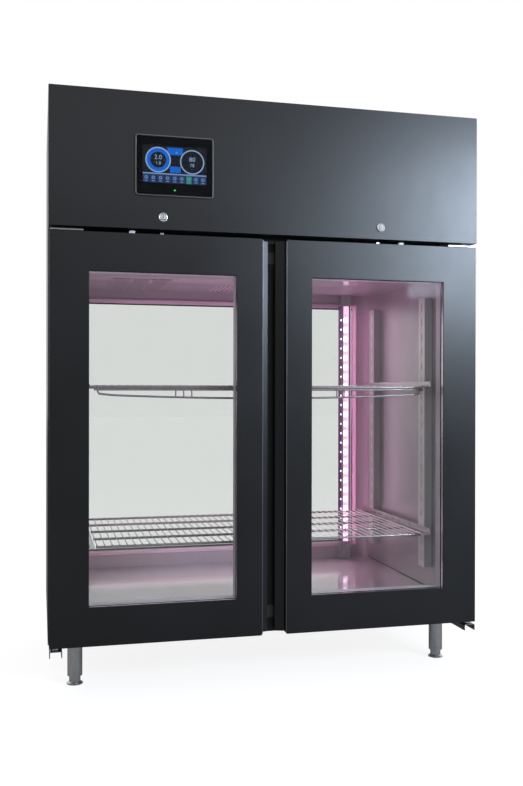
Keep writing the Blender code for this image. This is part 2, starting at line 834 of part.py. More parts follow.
def make_power_inlet():
    middle = (INLET_X, DECK_TOP + INLET_RISE)
    flange = corners(centred(*middle, INLET_FLANGE_WIDTH, INLET_FLANGE_HEIGHT))
    body = corners(centred(*middle, INLET_BODY_WIDTH, INLET_BODY_HEIGHT))
    socket = corners(centred(*middle, INLET_SOCKET_WIDTH, INLET_SOCKET_HEIGHT))
    seat = BACK_SHEET_REAR + FIT
    bm = bmesh.new()
    sections = [
        (socket, REAR - INLET_SOCKET_DEPTH),
        (socket, REAR),
        (flange, REAR),
        (flange, seat),
        (body, seat),
        (body, REAR - INLET_BODY_DEPTH),
    ]
    bridged(bm, "Y", sections)
    piece("power_inlet", bm, "dark plastic")


def make_display():
    bezel = centred(DISPLAY_X, DISPLAY_Z, DISPLAY_WIDTH, DISPLAY_HEIGHT)
    rear_box = centred(DISPLAY_X, DISPLAY_Z, DISPLAY_BOX_WIDTH, DISPLAY_BOX_HEIGHT)
    recess = rounded(grown(bezel, -DISPLAY_RIM), DISPLAY_CORNER - DISPLAY_RIM)
    floor = DISPLAY_FACE + DISPLAY_GLASS + FIT
    seat = FRONT - FIT
    bm = bmesh.new()
    sections = [
        (recess, floor),
        (recess, DISPLAY_FACE),
        (rounded(bezel, DISPLAY_CORNER), DISPLAY_FACE),
        (rounded(bezel, DISPLAY_CORNER), seat),
        (rounded(rear_box, DISPLAY_RIM), seat),
        (rounded(rear_box, DISPLAY_RIM), FRONT + DISPLAY_BOX_DEPTH),
    ]
    bridged(bm, "Y", sections)
    piece("display_housing", bm, "dark plastic")
    glass = rounded(grown(bezel, -DISPLAY_RIM - FIT), DISPLAY_CORNER - DISPLAY_RIM)
    bm = bmesh.new()
    prism(bm, "Y", glass, DISPLAY_FACE, DISPLAY_FACE + DISPLAY_GLASS)
    piece("display_glass", bm, "screen glass")


def make_lock(name, side):
    middle = (side * LOCK_X, LOCK_Z)
    bore = PLUG_RADIUS + FIT
    seat = FRONT - FIT
    face = seat - LOCK_BEZEL_PROUD
    tail = FRONT + LOCK_BARREL_LENGTH
    bm = bmesh.new()
    profile = [
        (bore, face),
        (LOCK_BEZEL_RADIUS, face),
        (LOCK_BEZEL_RADIUS, seat),
        (LOCK_BARREL_RADIUS, seat),
        (LOCK_BARREL_RADIUS, tail),
        (bore, tail),
    ]
    turned(bm, "Y", middle, profile, closed=True)
    piece(name + "_lock_housing", bm, "chrome")

    tip = FRONT - LOCK_PROUD
    bm = bmesh.new()
    turned(bm, "Y", middle, [(PLUG_RADIUS, tip), (PLUG_RADIUS, CAM_REAR)])
    plug = piece(name + "_lock_plug", bm, "chrome", pivot=(middle[0], FRONT, LOCK_Z))
    inward = -side
    blade = rect(
        middle[0] - inward * CAM_WIDTH / 2,
        LOCK_Z - CAM_WIDTH / 2,
        middle[0] + inward * CAM_LENGTH,
        LOCK_Z + CAM_WIDTH / 2,
    )
    bm = bmesh.new()
    prism(bm, "Y", corners(blade), CAM_FRONT, CAM_REAR)
    join(plug, bm)
    keyway = centred(*middle, KEYWAY_WIDTH, KEYWAY_HEIGHT)
    bm = bmesh.new()
    prism(bm, "Y", corners(keyway), tip - OVERRUN, tip + KEYWAY_DEPTH)
    cut(plug, bm)


def slab_area(side):
    """The door's front slab, seen from the front."""
    near, far = SLAB_CENTRE_GAP / 2, HALF_WIDTH - DOOR_SIDE_GAP
    return rect(side * near, DOOR_BOTTOM, side * far, DOOR_TOP)


def window_area(side):
    """The clear opening through the door."""
    near = SLAB_CENTRE_GAP / 2 + STILE_INNER
    far = HALF_WIDTH - DOOR_SIDE_GAP - STILE_OUTER
    return rect(side * near, DOOR_BOTTOM + RAIL_BOTTOM, side * far, DOOR_TOP - RAIL_TOP)


def hinge_pin(bm, side, low, high, radius):
    """A round body on the hinge's axis."""
    turned(bm, "Z", (side * HINGE_X, HINGE_Y), [(radius, low), (radius, high)])


def cut_grip(obj, side):
    """Slopes the strip beside the slab away to the rear, towards the gap between the doors."""
    edge, strip = SLAB_CENTRE_GAP / 2, STRIP_CENTRE_GAP / 2
    past = strip - OVERRUN
    ahead = INNER_FRAME_FRONT - OVERRUN
    depth = GRIP_FALL * (edge - past) / (edge - strip)
    outline = [
        (edge, INNER_FRAME_FRONT),
        (past, INNER_FRAME_FRONT + depth),
        (past, ahead),
        (edge, ahead),
    ]
    bm = bmesh.new()
    prism(bm, "Z", mirrored(side, outline), DOOR_BOTTOM - OVERRUN, DOOR_TOP + OVERRUN)
    cut(obj, bm)


def make_door(name, side):
    axis = (side * HINGE_X, HINGE_Y, DOOR_BOTTOM)
    pivot = pivot_empty(name + "_door_axis", axis)
    slab, window = slab_area(side), window_area(side)
    rebate = grown(window, GLASS_OVERLAP)
    glass_front = FRONT + GLASS_LIP + FIT

    bm = bmesh.new()
    lip = FRONT + GLASS_LIP
    sections = [
        (corners(slab), FRONT),
        (corners(slab), SLAB_REAR),
        (corners(rebate), SLAB_REAR),
        (corners(rebate), lip),
        (corners(window), lip),
        (corners(window), FRONT),
    ]
    bridged(bm, "Y", sections, closed=True)
    frame = piece(name + "_door_frame", bm, "black paint", parent=pivot)
    bores = bmesh.new()
    depth = PIN_ENGAGEMENT + BORE_SPARE_DEPTH
    bore = PIN_RADIUS + FIT
    hinge_pin(bores, side, DOOR_BOTTOM - OVERRUN, DOOR_BOTTOM + depth, bore)
    hinge_pin(bores, side, DOOR_TOP - depth, DOOR_TOP + OVERRUN, bore)
    cut(frame, bores)

    unit = grown(rebate, -FIT)
    make_glass_unit(name + "_door_glazing", unit, glass_front, parent=pivot)

    strip = STRIP_CENTRE_GAP / 2
    far = HALF_WIDTH - DOOR_SIDE_GAP - INNER_SIDE_INSET
    outer = rect(side * strip, DOOR_BOTTOM, side * far, DOOR_TOP)
    collar_front = glass_front + GLAZING_THICKNESS + FIT
    bm = bmesh.new()
    sections = [
        (corners(outer), INNER_FRAME_FRONT),
        (corners(outer), INNER_FRAME_REAR),
        (corners(window), INNER_FRAME_REAR),
        (corners(window), collar_front),
        (corners(unit), collar_front),
        (corners(unit), INNER_FRAME_FRONT),
    ]
    bridged(bm, "Y", sections, closed=True)
    inner_frame = piece(name + "_door_inner_frame", bm, "grey plastic", parent=pivot)
    cut_grip(inner_frame, side)

    seal = rect(
        side * (strip + GASKET_STRIP_INSET),
        DOOR_BOTTOM + GASKET_END_INSET,
        side * (far - GASKET_SIDE_INSET),
        DOOR_TOP - GASKET_END_INSET,
    )
    inner_seal = grown(seal, -GASKET_WIDTH)
    bulb = GASKET_REAR - GASKET_LIP
    bm = bmesh.new()
    sections = [
        (corners(seal), GASKET_FRONT),
        (corners(seal), bulb),
        (corners(grown(seal, -GASKET_LIP)), GASKET_REAR),
        (corners(grown(inner_seal, GASKET_LIP)), GASKET_REAR),
        (corners(inner_seal), bulb),
        (corners(inner_seal), GASKET_FRONT),
    ]
    bridged(bm, "Y", sections, closed=True)
    piece(name + "_door_gasket", bm, "rubber", parent=pivot)

    keeper_front = CAM_REAR + KEEPER_PLAY
    middle = side * LOCK_X
    bm = bmesh.new()
    box(
        bm,
        (middle - KEEPER_WIDTH / 2, keeper_front, DOOR_TOP + FIT),
        (middle + KEEPER_WIDTH / 2, keeper_front + KEEPER_DEPTH, DOOR_TOP + KEEPER_HEIGHT),
    )
    piece(name + "_lock_keeper", bm, "zinc", parent=pivot)


def bent_corner(middle_a, middle_b, radius, start):
    """A quarter bend of an outline, from start, turning clockwise."""
    points = []
    for step in range(CORNER_STEPS + 1):
        turn = start - math.pi / 2 * step / CORNER_STEPS
        points.append((middle_a + radius * math.cos(turn), middle_b + radius * math.sin(turn)))
    return points


def make_hinge_arm(name, side):
    far = HALF_WIDTH - ARM_SIDE_INSET
    near = far - ARM_WIDTH
    top = BODY_BOTTOM - FIT
    low = top - ARM_HEIGHT
    outline = [(near, low)]
    outline += bent_corner(near + ARM_BEND, top - ARM_BEND, ARM_BEND, math.pi)
    outline += bent_corner(far - ARM_BEND, top - ARM_BEND, ARM_BEND, math.pi / 2)
    outline += [(far, low), (far - ARM_SHEET, low), (far - ARM_SHEET, top - ARM_SHEET)]
    outline += [(near + ARM_SHEET, top - ARM_SHEET), (near + ARM_SHEET, low)]
    bm = bmesh.new()
    prism(bm, "Y", mirrored(side, outline), FRONT, FRONT + ARM_LENGTH)
    arm = piece(name + "_bottom_hinge_arm", bm, "zinc")
    bm = bmesh.new()
    seat = DOOR_BOTTOM - FIT
    profile = [
        (THRUST_RADIUS, top - ARM_SHEET / 2),
        (THRUST_RADIUS, seat),
        (PIN_RADIUS, seat),
        (PIN_RADIUS, DOOR_BOTTOM + PIN_ENGAGEMENT),
    ]
    turned(bm, "Z", (side * HINGE_X, HINGE_Y), profile)
    join(arm, bm)


def make_hinge_bracket(name, side):
    near, far = bracket_area(side)
    low = DOOR_TOP + BRACKET_LIFT
    top = low + BRACKET_SHEET
    front = FRONT + BRACKET_FRONT_INSET
    outline = [
        (front, low),
        (PAN_REAR, low),
        (PAN_REAR, low + BRACKET_FLANGE),
        (PAN_REAR - BRACKET_SHEET, low + BRACKET_FLANGE),
        (PAN_REAR - BRACKET_SHEET, top),
        (front, top),
    ]
    bm = bmesh.new()
    prism(bm, "X", outline, near, far)
    bracket = piece(name + "_top_hinge_bracket", bm, "zinc")
    bm = bmesh.new()
    hinge_pin(bm, side, DOOR_TOP - PIN_ENGAGEMENT, low + BRACKET_SHEET / 2, PIN_RADIUS)
    join(bracket, bm)


def make_foot(name, side, y):
    neck = FOOT_PAD_HEIGHT + FOOT_NECK_HEIGHT
    stem = LEG_RADIUS - LEG_WALL - FIT
    profile = [
        (FOOT_PAD_RADIUS, 0),
        (FOOT_PAD_RADIUS, FOOT_PAD_HEIGHT / 2),
        (FOOT_NECK_RADIUS, FOOT_PAD_HEIGHT),
        (FOOT_NECK_RADIUS, neck),
        (LEG_RADIUS, neck),
        (LEG_RADIUS, FOOT_TOP),
        (stem, FOOT_TOP),
        (stem, FOOT_TOP + FOOT_STEM_LENGTH),
    ]
    bm = bmesh.new()
    turned(bm, "Z", (side * LEG_X, y), profile)
    piece(name + "_levelling_foot", bm, "stainless", pivot=(side * LEG_X, y, 0))


def standard_front(station):
    """Where an upright starts, for the front pair or the rear pair."""
    if station == "front":
        return BODY_FRONT + STANDARD_FRONT_INSET
    return INNER_REAR - STANDARD_REAR_INSET - STANDARD_WIDTH


def make_standard(name, side, y):
    """A slotted channel against the side wall, open towards it."""
    outer = INNER_HALF - FIT
    web = STANDARD_INNER + STANDARD_SHEET
    outline = [
        (outer, y),
        (STANDARD_INNER, y),
        (STANDARD_INNER, y + STANDARD_WIDTH),
        (outer, y + STANDARD_WIDTH),
        (outer, y + STANDARD_WIDTH - STANDARD_SHEET),
        (web, y + STANDARD_WIDTH - STANDARD_SHEET),
        (web, y + STANDARD_SHEET),
        (outer, y + STANDARD_SHEET),
    ]
    low, high = INNER_FLOOR + STANDARD_FOOT, INNER_CEILING - STANDARD_HEAD
    bm = bmesh.new()
    prism(bm, "Z", mirrored(side, outline), low, high)
    standard = piece(name + "_standard", bm, "stainless")
    first = (low + high - (STANDARD_SLOTS - 1) * SLOT_PITCH) / 2
    bm = bmesh.new()
    for step in range(STANDARD_SLOTS):
        area = centred(
            y + STANDARD_WIDTH / 2, first + step * SLOT_PITCH, SLOT_WIDTH, SLOT_HEIGHT
        )
        ends = (side * (STANDARD_INNER - OVERRUN), side * (web + OVERRUN))
        prism(bm, "X", corners(area), *ends)
    cut(standard, bm)


def make_shelf_rail(name, side, shelf_bottom):
    """An angle on the uprights: a ledge under the shelf and a flange beside it."""
    ledge = shelf_bottom - FIT
    low = ledge - RAIL_SHEET
    outline = [
        (RAIL_OUTER, low),
        (RAIL_OUTER, low + RAIL_HEIGHT),
        (RAIL_OUTER - RAIL_SHEET, low + RAIL_HEIGHT),
        (RAIL_OUTER - RAIL_SHEET, ledge),
        (RAIL_OUTER - RAIL_LEDGE, ledge),
        (RAIL_OUTER - RAIL_LEDGE, low),
    ]
    bm = bmesh.new()
    ends = (BODY_FRONT + RAIL_FRONT_INSET, INNER_REAR - RAIL_REAR_INSET)
    prism(bm, "Y", mirrored(side, outline), *ends)
    piece(name + "_shelf_rail", bm, "stainless")


def make_wire_shelf(name, bottom):
    half = RAIL_OUTER - RAIL_SHEET - FIT
    top = bottom + SHELF_THICKNESS
    bm = bmesh.new()
    a_edges = strips(-half, half, SHELF_GAPS, SHELF_WIRE)
    b_edges = strips(SHELF_FRONT, SHELF_REAR, SHELF_ROWS, SHELF_BAR)
    grid(bm, "Z", a_edges, b_edges, bottom, top)
    shelf = piece(name + "_wire_shelf", bm, "stainless")
    if name != "upper":
        return
    reach = RAIL_OUTER - RAIL_LEDGE - SHELF_FRONT_PLAY
    under, over = [], []
    for step in range(TRUSS_STEPS + 1):
        way_share = 2 * step / TRUSS_STEPS - 1
        x = reach * way_share
        drop = TRUSS_END_DROP + TRUSS_SAG * (1 - way_share**2)
        under.append((x, bottom - drop - TRUSS_ROD))
        if 0 < step < TRUSS_STEPS:
            over.append((x, bottom - drop))
    inside = reach - TRUSS_ROD
    post_top = bottom + SHELF_THICKNESS / 2
    foot = bottom - TRUSS_END_DROP
    outline = under + [(reach, post_top), (inside, post_top), (inside, foot)]
    outline += over[::-1] + [(-inside, foot), (-inside, post_top), (-reach, post_top)]
    bm = bmesh.new()
    prism(bm, "Y", outline, SHELF_FRONT, SHELF_FRONT + SHELF_BAR)
    join(shelf, bm)


def make_light():
    low, high = INNER_FLOOR + FIT, INNER_CEILING - FIT
    half, slot = LED_PROFILE_WIDTH / 2, LED_STRIP_WIDTH / 2 + FIT
    back = INNER_REAR - FIT
    seat = LED_FRONT + LED_STRIP_DEPTH + FIT
    outline = [
        (LED_X - half, LED_FRONT),
        (LED_X - slot, LED_FRONT),
        (LED_X - slot, seat),
        (LED_X + slot, seat),
        (LED_X + slot, LED_FRONT),
        (LED_X + half, LED_FRONT),
        (LED_X + half, back),
        (LED_X - half, back),
    ]
    bm = bmesh.new()
    prism(bm, "Z", outline, low, high)
    piece("led_profile", bm, "aluminium")
    strip = rect(LED_X - slot + FIT, LED_FRONT, LED_X + slot - FIT, LED_FRONT + LED_STRIP_DEPTH)
    bm = bmesh.new()
    prism(bm, "Z", corners(strip), low, high)
    piece("led_strip", bm, "light")


def make_compressor():
    plate = centred(
        COMPRESSOR_X, COMPRESSOR_Y, COMPRESSOR_PLATE_WIDTH, COMPRESSOR_PLATE_DEPTH
    )
    plate_top = PLANT_FLOOR + COMPRESSOR_PLATE
    top = PLANT_FLOOR + COMPRESSOR_HEIGHT
    bm = bmesh.new()
    prism(bm, "Z", corners(plate), PLANT_FLOOR, plate_top)
    compressor = piece("compressor", bm, "dark plastic")
    bm = bmesh.new()
    profile = [
        (COMPRESSOR_NECK, plate_top - COMPRESSOR_PLATE / 2),
        (COMPRESSOR_NECK, plate_top),
        (COMPRESSOR_RADIUS, plate_top + COMPRESSOR_SHOULDER),
        (COMPRESSOR_RADIUS, top - COMPRESSOR_SHOULDER),
        (COMPRESSOR_CROWN, top),
    ]
    turned(bm, "Z", (COMPRESSOR_X, COMPRESSOR_Y), profile)
    join(compressor, bm)
    reach = COMPRESSOR_RADIUS + COMPRESSOR_STUB_LENGTH
    stub = COMPRESSOR_STUB_RADIUS
    bm = bmesh.new()
    middle = (COMPRESSOR_Y, PLANT_FLOOR + COMPRESSOR_SUCTION_RISE)
    turned(bm, "X", middle, [(stub, COMPRESSOR_X - reach), (stub, COMPRESSOR_X - stub)])
    join(compressor, bm)
    bm = bmesh.new()
    middle = (COMPRESSOR_X, PLANT_FLOOR + COMPRESSOR_DISCHARGE_RISE)
    turned(bm, "Y", middle, [(stub, COMPRESSOR_Y + stub), (stub, COMPRESSOR_Y + reach)])
    join(compressor, bm)


def cut_fins(obj, area, gaps, front, rear):
    """Upright gaps between the fins of a coil, seen from the front."""
    inner = grown(area, -COIL_BORDER)
    edges = strips(inner.left - COIL_FIN, inner.right + COIL_FIN, gaps, COIL_FIN)
    bm = bmesh.new()
    for left, right in zip(edges[1:-1:2], edges[2:-1:2]):
        gap = rect(left, inner.bottom, right, inner.top)
        prism(bm, "Y", corners(gap), front, rear)
    cut(obj, bm)


def add_stub(obj, x_start, x_end, y, z, radius):
    """A short pipe end on the right side of a coil."""
    bm = bmesh.new()
    turned(bm, "X", (y, z), [(radius, x_start), (radius, x_end)])
    join(obj, bm)


def make_condenser():
    area = centred(CONDENSER_X, PLANT_FLOOR + CONDENSER_HEIGHT / 2, CONDENSER_WIDTH, CONDENSER_HEIGHT)
    rear = CONDENSER_FRONT + CONDENSER_DEPTH
    bm = bmesh.new()
    prism(bm, "Y", corners(area), CONDENSER_FRONT, rear)
    condenser = piece("condenser", bm, "aluminium")
    cut_fins(condenser, area, CONDENSER_GAPS, CONDENSER_FRONT - OVERRUN, rear + OVERRUN)
    for rise in (CONDENSER_INLET_RISE, CONDENSER_OUTLET_RISE):
        add_stub(
            condenser,
            area.right - COIL_BORDER / 2,
            area.right + CONDENSER_STUB_LENGTH,
            CONDENSER_Y,
            PLANT_FLOOR + rise,
            CONDENSER_STUB_RADIUS,
        )


def add_motor(obj, middle, rear, front):
    """A fan motor with its shaft pointing forward or back, from rear to front."""
    way = 1 if front > rear else -1
    bm = bmesh.new()
    profile = [
        (MOTOR_RADIUS, rear),
        (MOTOR_RADIUS, front),
        (SHAFT_RADIUS, front),
        (SHAFT_RADIUS, front + way * SHAFT_LENGTH),
    ]
    turned(bm, "Y", middle, profile)
    join(obj, bm)


def make_condenser_fan_frame():
    middle = (CONDENSER_X, PLANT_FLOOR + SHROUD_HEIGHT / 2)
    area = centred(*middle, SHROUD_WIDTH, SHROUD_HEIGHT)
    bm = bmesh.new()
    prism(bm, "Y", corners(area), SHROUD_FRONT, SHROUD_REAR)
    shroud = piece("condenser_fan_frame", bm, "dark plastic")
    bm = bmesh.new()
    hole = CONDENSER_FAN_RADIUS + FAN_TIP_PLAY
    turned(bm, "Y", middle, [(hole, SHROUD_FRONT - OVERRUN), (hole, SHROUD_REAR + OVERRUN)])
    cut(shroud, bm)
    for width, height in ((2 * hole + SPOKE_WIDTH, SPOKE_WIDTH), (SPOKE_WIDTH, 2 * hole + SPOKE_WIDTH)):
        bm = bmesh.new()
        spoke = corners(centred(*middle, width, height))
        prism(bm, "Y", spoke, SHROUD_REAR - SPOKE_DEPTH, SHROUD_REAR)
        join(shroud, bm)
    add_motor(shroud, middle, SHROUD_REAR - SPOKE_DEPTH / 2, SHROUD_REAR - MOTOR_LENGTH)


def make_fan(name, middle, seat, way, tip_radius):
    """A hub cap over a motor's shaft, with pitched blades; way is 1 where the fan points to +Y."""
    bore = SHAFT_RADIUS + FIT
    start = seat + way * FIT
    profile = [
        (HUB_RADIUS, start),
        (HUB_RADIUS, start + way * HUB_LENGTH),
        (bore, start + way * HUB_LENGTH),
        (bore, start),
    ]
    bm = bmesh.new()
    turned(bm, "Y", middle, profile, closed=True)
    fan = piece(name, bm, "grey plastic", pivot=(middle[0], start, middle[1]))
    centre = Vector((middle[0], start + way * HUB_LENGTH / 2, middle[1]))
    root = HUB_RADIUS - BLADE_ROOT_BURY
    bm = bmesh.new()
    for step in range(FAN_BLADES):
        lean = Matrix.Rotation(BLADE_PITCH, 4, "Z")
        spin = Matrix.Rotation(2 * math.pi * step / FAN_BLADES, 4, "Y")
        length = tip_radius - root
        shape = Matrix.Diagonal((BLADE_CHORD, BLADE_THICKNESS, length, 1))
        shift = Matrix.Translation((0, 0, root + length / 2))
        matrix = Matrix.Translation(centre) @ spin @ shift @ lean @ shape
        bmesh.ops.create_cube(bm, size=1, matrix=matrix)
    join(fan, bm)


def make_condenser_fan():
    middle = (CONDENSER_X, PLANT_FLOOR + SHROUD_HEIGHT / 2)
    make_fan("condenser_fan", middle, SHROUD_REAR - MOTOR_LENGTH, -1, CONDENSER_FAN_RADIUS)


def cooler_area():
    middle = PLANT_FLOOR + COOLER_HEIGHT / 2
    return centred(EVAP_CASE_X, middle, COOLER_WIDTH, COOLER_HEIGHT)


def make_evaporator_case():
    area = centred(EVAP_CASE_X, EVAP_CASE_Y, EVAP_CASE_WIDTH, EVAP_CASE_DEPTH)
    inner = grown(area, -EVAP_CASE_WALL)
    top = PLANT_FLOOR + EVAP_CASE_HEIGHT
    bm = bmesh.new()
    sections = [
        (corners(area), top),
        (corners(area), PLANT_FLOOR),
        (corners(inner), PLANT_FLOOR),
        (corners(inner), top - EVAP_CASE_WALL),
    ]
    bridged(bm, "Z", sections)
    case = piece("evaporator_case", bm, "stainless")
    bm = bmesh.new()
    y = COOLER_FRONT + COIL_DEPTH / 2
    ends = (inner.right - OVERRUN, area.right + OVERRUN)
    for rise, radius in ((SUCTION_RISE, SUCTION_PIPE_RADIUS), (LIQUID_RISE, LIQUID_PIPE_RADIUS)):
        hole = radius + PIPE_HOLE_PLAY
        turned(bm, "X", (y, PLANT_FLOOR + rise), [(hole, ends[0]), (hole, ends[1])])
    cut(case, bm)


def make_evaporator_cooler():
    area = cooler_area()
    middle = (EVAP_CASE_X, (area.bottom + area.top) / 2)
    bm = bmesh.new()
    prism(bm, "Y", corners(area), COOLER_FRONT, COOLER_REAR)
    cooler = piece("evaporator_cooler", bm, "aluminium")
    cut_fins(cooler, area, COIL_GAPS, COOLER_FRONT - OVERRUN, COIL_REAR)
    bm = bmesh.new()
    hole = EVAPORATOR_FAN_RADIUS + FAN_TIP_PLAY
    turned(bm, "Y", middle, [(hole, COIL_REAR - COIL_FIN), (hole, COOLER_REAR + OVERRUN)])
    cut(cooler, bm)
    y = COOLER_FRONT + COIL_DEPTH / 2
    for rise in (SUCTION_RISE, LIQUID_RISE):
        add_stub(
            cooler,
            area.right - COIL_BORDER / 2,
            area.right + COOLER_STUB_LENGTH,
            y,
            PLANT_FLOOR + rise,
            COOLER_STUB_RADIUS,
        )
    add_motor(cooler, middle, COIL_REAR - COIL_BORDER, COIL_REAR + COIL_FIN)


def make_evaporator_fan():
    area = cooler_area()
    middle = (EVAP_CASE_X, (area.bottom + area.top) / 2)
    make_fan("evaporator_fan", middle, COIL_REAR + COIL_FIN, 1, EVAPORATOR_FAN_RADIUS)


def bent_route(turns, radius):
    """Points along a tube that runs straight between its turning points and bends at each."""
    turns = [Vector(point) for point in turns]
    route = [turns[0]]
    for before, corner, after in zip(turns, turns[1:], turns[2:]):
        back = (before - corner).normalized()
        ahead = (after - corner).normalized()
        half = back.angle(ahead) / 2
        reach = radius / math.tan(half)
        centre = corner + (back + ahead).normalized() * radius / math.sin(half)
        start = corner + back * reach - centre
        axis = start.cross(corner + ahead * reach - centre)
        sweep = math.pi - 2 * half
        for step in range(BEND_STEPS + 1):
            turn = Quaternion(axis.normalized(), sweep * step / BEND_STEPS)
            route.append(centre + turn @ start)
    route.append(turns[-1])
    return route


def make_pipe(name, turns, radius, bend):
    curve = bpy.data.curves.new(name, "CURVE")
    curve.dimensions = "3D"
    curve.bevel_depth = radius
    curve.bevel_resolution = 2
    curve.use_fill_caps = True
    route = bent_route(turns, bend)
    origin = route[0]
    spline = curve.splines.new("POLY")
    spline.points.add(len(route) - 1)
    for point, place in zip(spline.points, route):
        point.co = (*(place - origin), 1)
    curve.materials.append(finish(name, "copper"))
    pipe = bpy.data.objects.new(name, curve)
    pipe.location = origin
    bpy.context.scene.collection.objects.link(pipe)


def make_pipes():
    cooler_end = cooler_area().right + COOLER_STUB_LENGTH + FIT
    cooler_y = COOLER_FRONT + COIL_DEPTH / 2
    reach = COMPRESSOR_RADIUS + COMPRESSOR_STUB_LENGTH + FIT
    suction_z = PLANT_FLOOR + COMPRESSOR_SUCTION_RISE
    crest = PLANT_FLOOR + SUCTION_CREST_RISE
    cooler_suction = PLANT_FLOOR + SUCTION_RISE
    suction = [
        (COMPRESSOR_X - reach, COMPRESSOR_Y, suction_z),
        (SUCTION_DROP_X, COMPRESSOR_Y, suction_z),
        (SUCTION_DROP_X, COMPRESSOR_Y, crest),
        (SUCTION_TURN_X, cooler_y, crest),
        (SUCTION_TURN_X, cooler_y, cooler_suction),
        (cooler_end, cooler_y, cooler_suction),
    ]
    make_pipe("suction_pipe", suction, SUCTION_PIPE_RADIUS, PIPE_BEND)
    condenser_end = CONDENSER_X + CONDENSER_WIDTH / 2 + CONDENSER_STUB_LENGTH + FIT
    discharge_z = PLANT_FLOOR + COMPRESSOR_DISCHARGE_RISE
    inlet_z = PLANT_FLOOR + CONDENSER_INLET_RISE
    discharge = [
        (COMPRESSOR_X, COMPRESSOR_Y + reach, discharge_z),
        (COMPRESSOR_X, CONDENSER_Y, discharge_z),
        (COMPRESSOR_X, CONDENSER_Y, inlet_z),
        (condenser_end, CONDENSER_Y, inlet_z),
    ]
    make_pipe("discharge_pipe", discharge, DISCHARGE_PIPE_RADIUS, PIPE_BEND)
    outlet_z = PLANT_FLOOR + CONDENSER_OUTLET_RISE
    liquid = [
        (condenser_end, CONDENSER_Y, outlet_z),
        (LIQUID_TURN_X, CONDENSER_Y, outlet_z),
        (LIQUID_TURN_X, cooler_y, PLANT_FLOOR + LIQUID_RISE),
        (cooler_end, cooler_y, PLANT_FLOOR + LIQUID_RISE),
    ]
    make_pipe("liquid_pipe", liquid, LIQUID_PIPE_RADIUS, LIQUID_PIPE_BEND)


def make_shell():
    make_base_tray()
    for name, side in SIDES.items():
        make_side_casing(name, side)
    make_rear_casing()
    make_insulation()
    make_inner_liner()
    make_front_frame()
    make_centre_mullion()
    make_rear_glazing()


def make_header():
    make_plant_deck()
    make_header_panel()
    make_top_cover()
    make_rear_grille()
    make_power_inlet()
    make_display()


def make_plant():
    make_compressor()
    make_condenser()
    make_condenser_fan_frame()
    make_condenser_fan()
    make_evaporator_case()
    make_evaporator_cooler()
    make_evaporator_fan()
    make_pipes()


def make_interior():
    make_light()
    for name, rise in SHELF_RISES.items():
        bottom = INNER_FLOOR + rise
        make_wire_shelf(name, bottom)
        for side_name, side in SIDES.items():
            make_shelf_rail(f"{name}_{side_name}", side, bottom)
    for side_name, side in SIDES.items():
        for station in STATIONS:
            make_standard(f"{station}_{side_name}", side, standard_front(station))


def make_doors_and_feet():
    for name, side in SIDES.items():
        make_door(name, side)
        make_lock(name, side)
        make_hinge_arm(name, side)
        make_hinge_bracket(name, side)
        for station, y in zip(STATIONS, (LEG_FRONT_Y, LEG_REAR_Y)):
            make_foot(f"{station}_{name}", side, y)


def main():
    for obj in list(bpy.data.objects):
        bpy.data.objects.remove(obj)
    make_shell()
    make_header()
    make_plant()
    make_interior()
    make_doors_and_feet()
    bpy.context.view_layer.update()


main()
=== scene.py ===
# %% [markdown]
# A dry aging cabinet, dressed for its picture.
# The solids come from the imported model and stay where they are. This file gives them their finishes,
# swaps plain ones for pieces with rounded edges, and adds what is too small to be a solid: screws, glass
# spacers, door magnets, shelf wires and what the display shows.
# Lengths are in metres. X runs along the doors, -Y points out of them and Z is up.

import json
import math

import bmesh
import bpy
from mathutils import Matrix, Vector

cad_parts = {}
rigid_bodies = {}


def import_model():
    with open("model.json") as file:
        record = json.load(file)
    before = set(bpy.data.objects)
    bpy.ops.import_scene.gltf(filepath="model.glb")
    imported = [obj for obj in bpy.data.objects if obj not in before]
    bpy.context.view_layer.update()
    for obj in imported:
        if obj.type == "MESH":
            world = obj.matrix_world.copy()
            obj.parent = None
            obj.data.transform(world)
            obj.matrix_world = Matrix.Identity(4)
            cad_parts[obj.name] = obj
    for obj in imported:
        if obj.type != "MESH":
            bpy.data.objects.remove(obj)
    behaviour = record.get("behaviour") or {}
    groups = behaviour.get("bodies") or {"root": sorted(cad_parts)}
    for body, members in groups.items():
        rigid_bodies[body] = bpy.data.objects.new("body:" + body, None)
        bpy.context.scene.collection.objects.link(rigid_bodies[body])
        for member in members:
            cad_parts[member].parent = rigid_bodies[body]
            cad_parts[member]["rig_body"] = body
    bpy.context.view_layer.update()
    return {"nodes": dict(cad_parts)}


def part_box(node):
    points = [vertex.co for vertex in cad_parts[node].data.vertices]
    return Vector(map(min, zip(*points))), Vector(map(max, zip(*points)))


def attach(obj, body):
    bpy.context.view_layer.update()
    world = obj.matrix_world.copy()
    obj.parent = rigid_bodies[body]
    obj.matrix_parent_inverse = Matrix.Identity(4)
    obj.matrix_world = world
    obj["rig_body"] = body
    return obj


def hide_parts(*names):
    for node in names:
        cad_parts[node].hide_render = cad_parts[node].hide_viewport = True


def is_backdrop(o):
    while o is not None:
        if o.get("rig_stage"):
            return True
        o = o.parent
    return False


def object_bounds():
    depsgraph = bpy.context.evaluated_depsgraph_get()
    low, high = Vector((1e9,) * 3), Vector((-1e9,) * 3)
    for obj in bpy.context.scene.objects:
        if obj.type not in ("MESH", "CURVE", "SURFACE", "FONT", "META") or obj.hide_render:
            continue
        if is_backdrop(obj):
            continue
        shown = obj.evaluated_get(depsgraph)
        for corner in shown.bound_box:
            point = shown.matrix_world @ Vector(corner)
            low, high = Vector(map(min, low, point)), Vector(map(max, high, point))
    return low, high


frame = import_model()
nodes = frame["nodes"]
SIDES = {"left": -1, "right": 1}

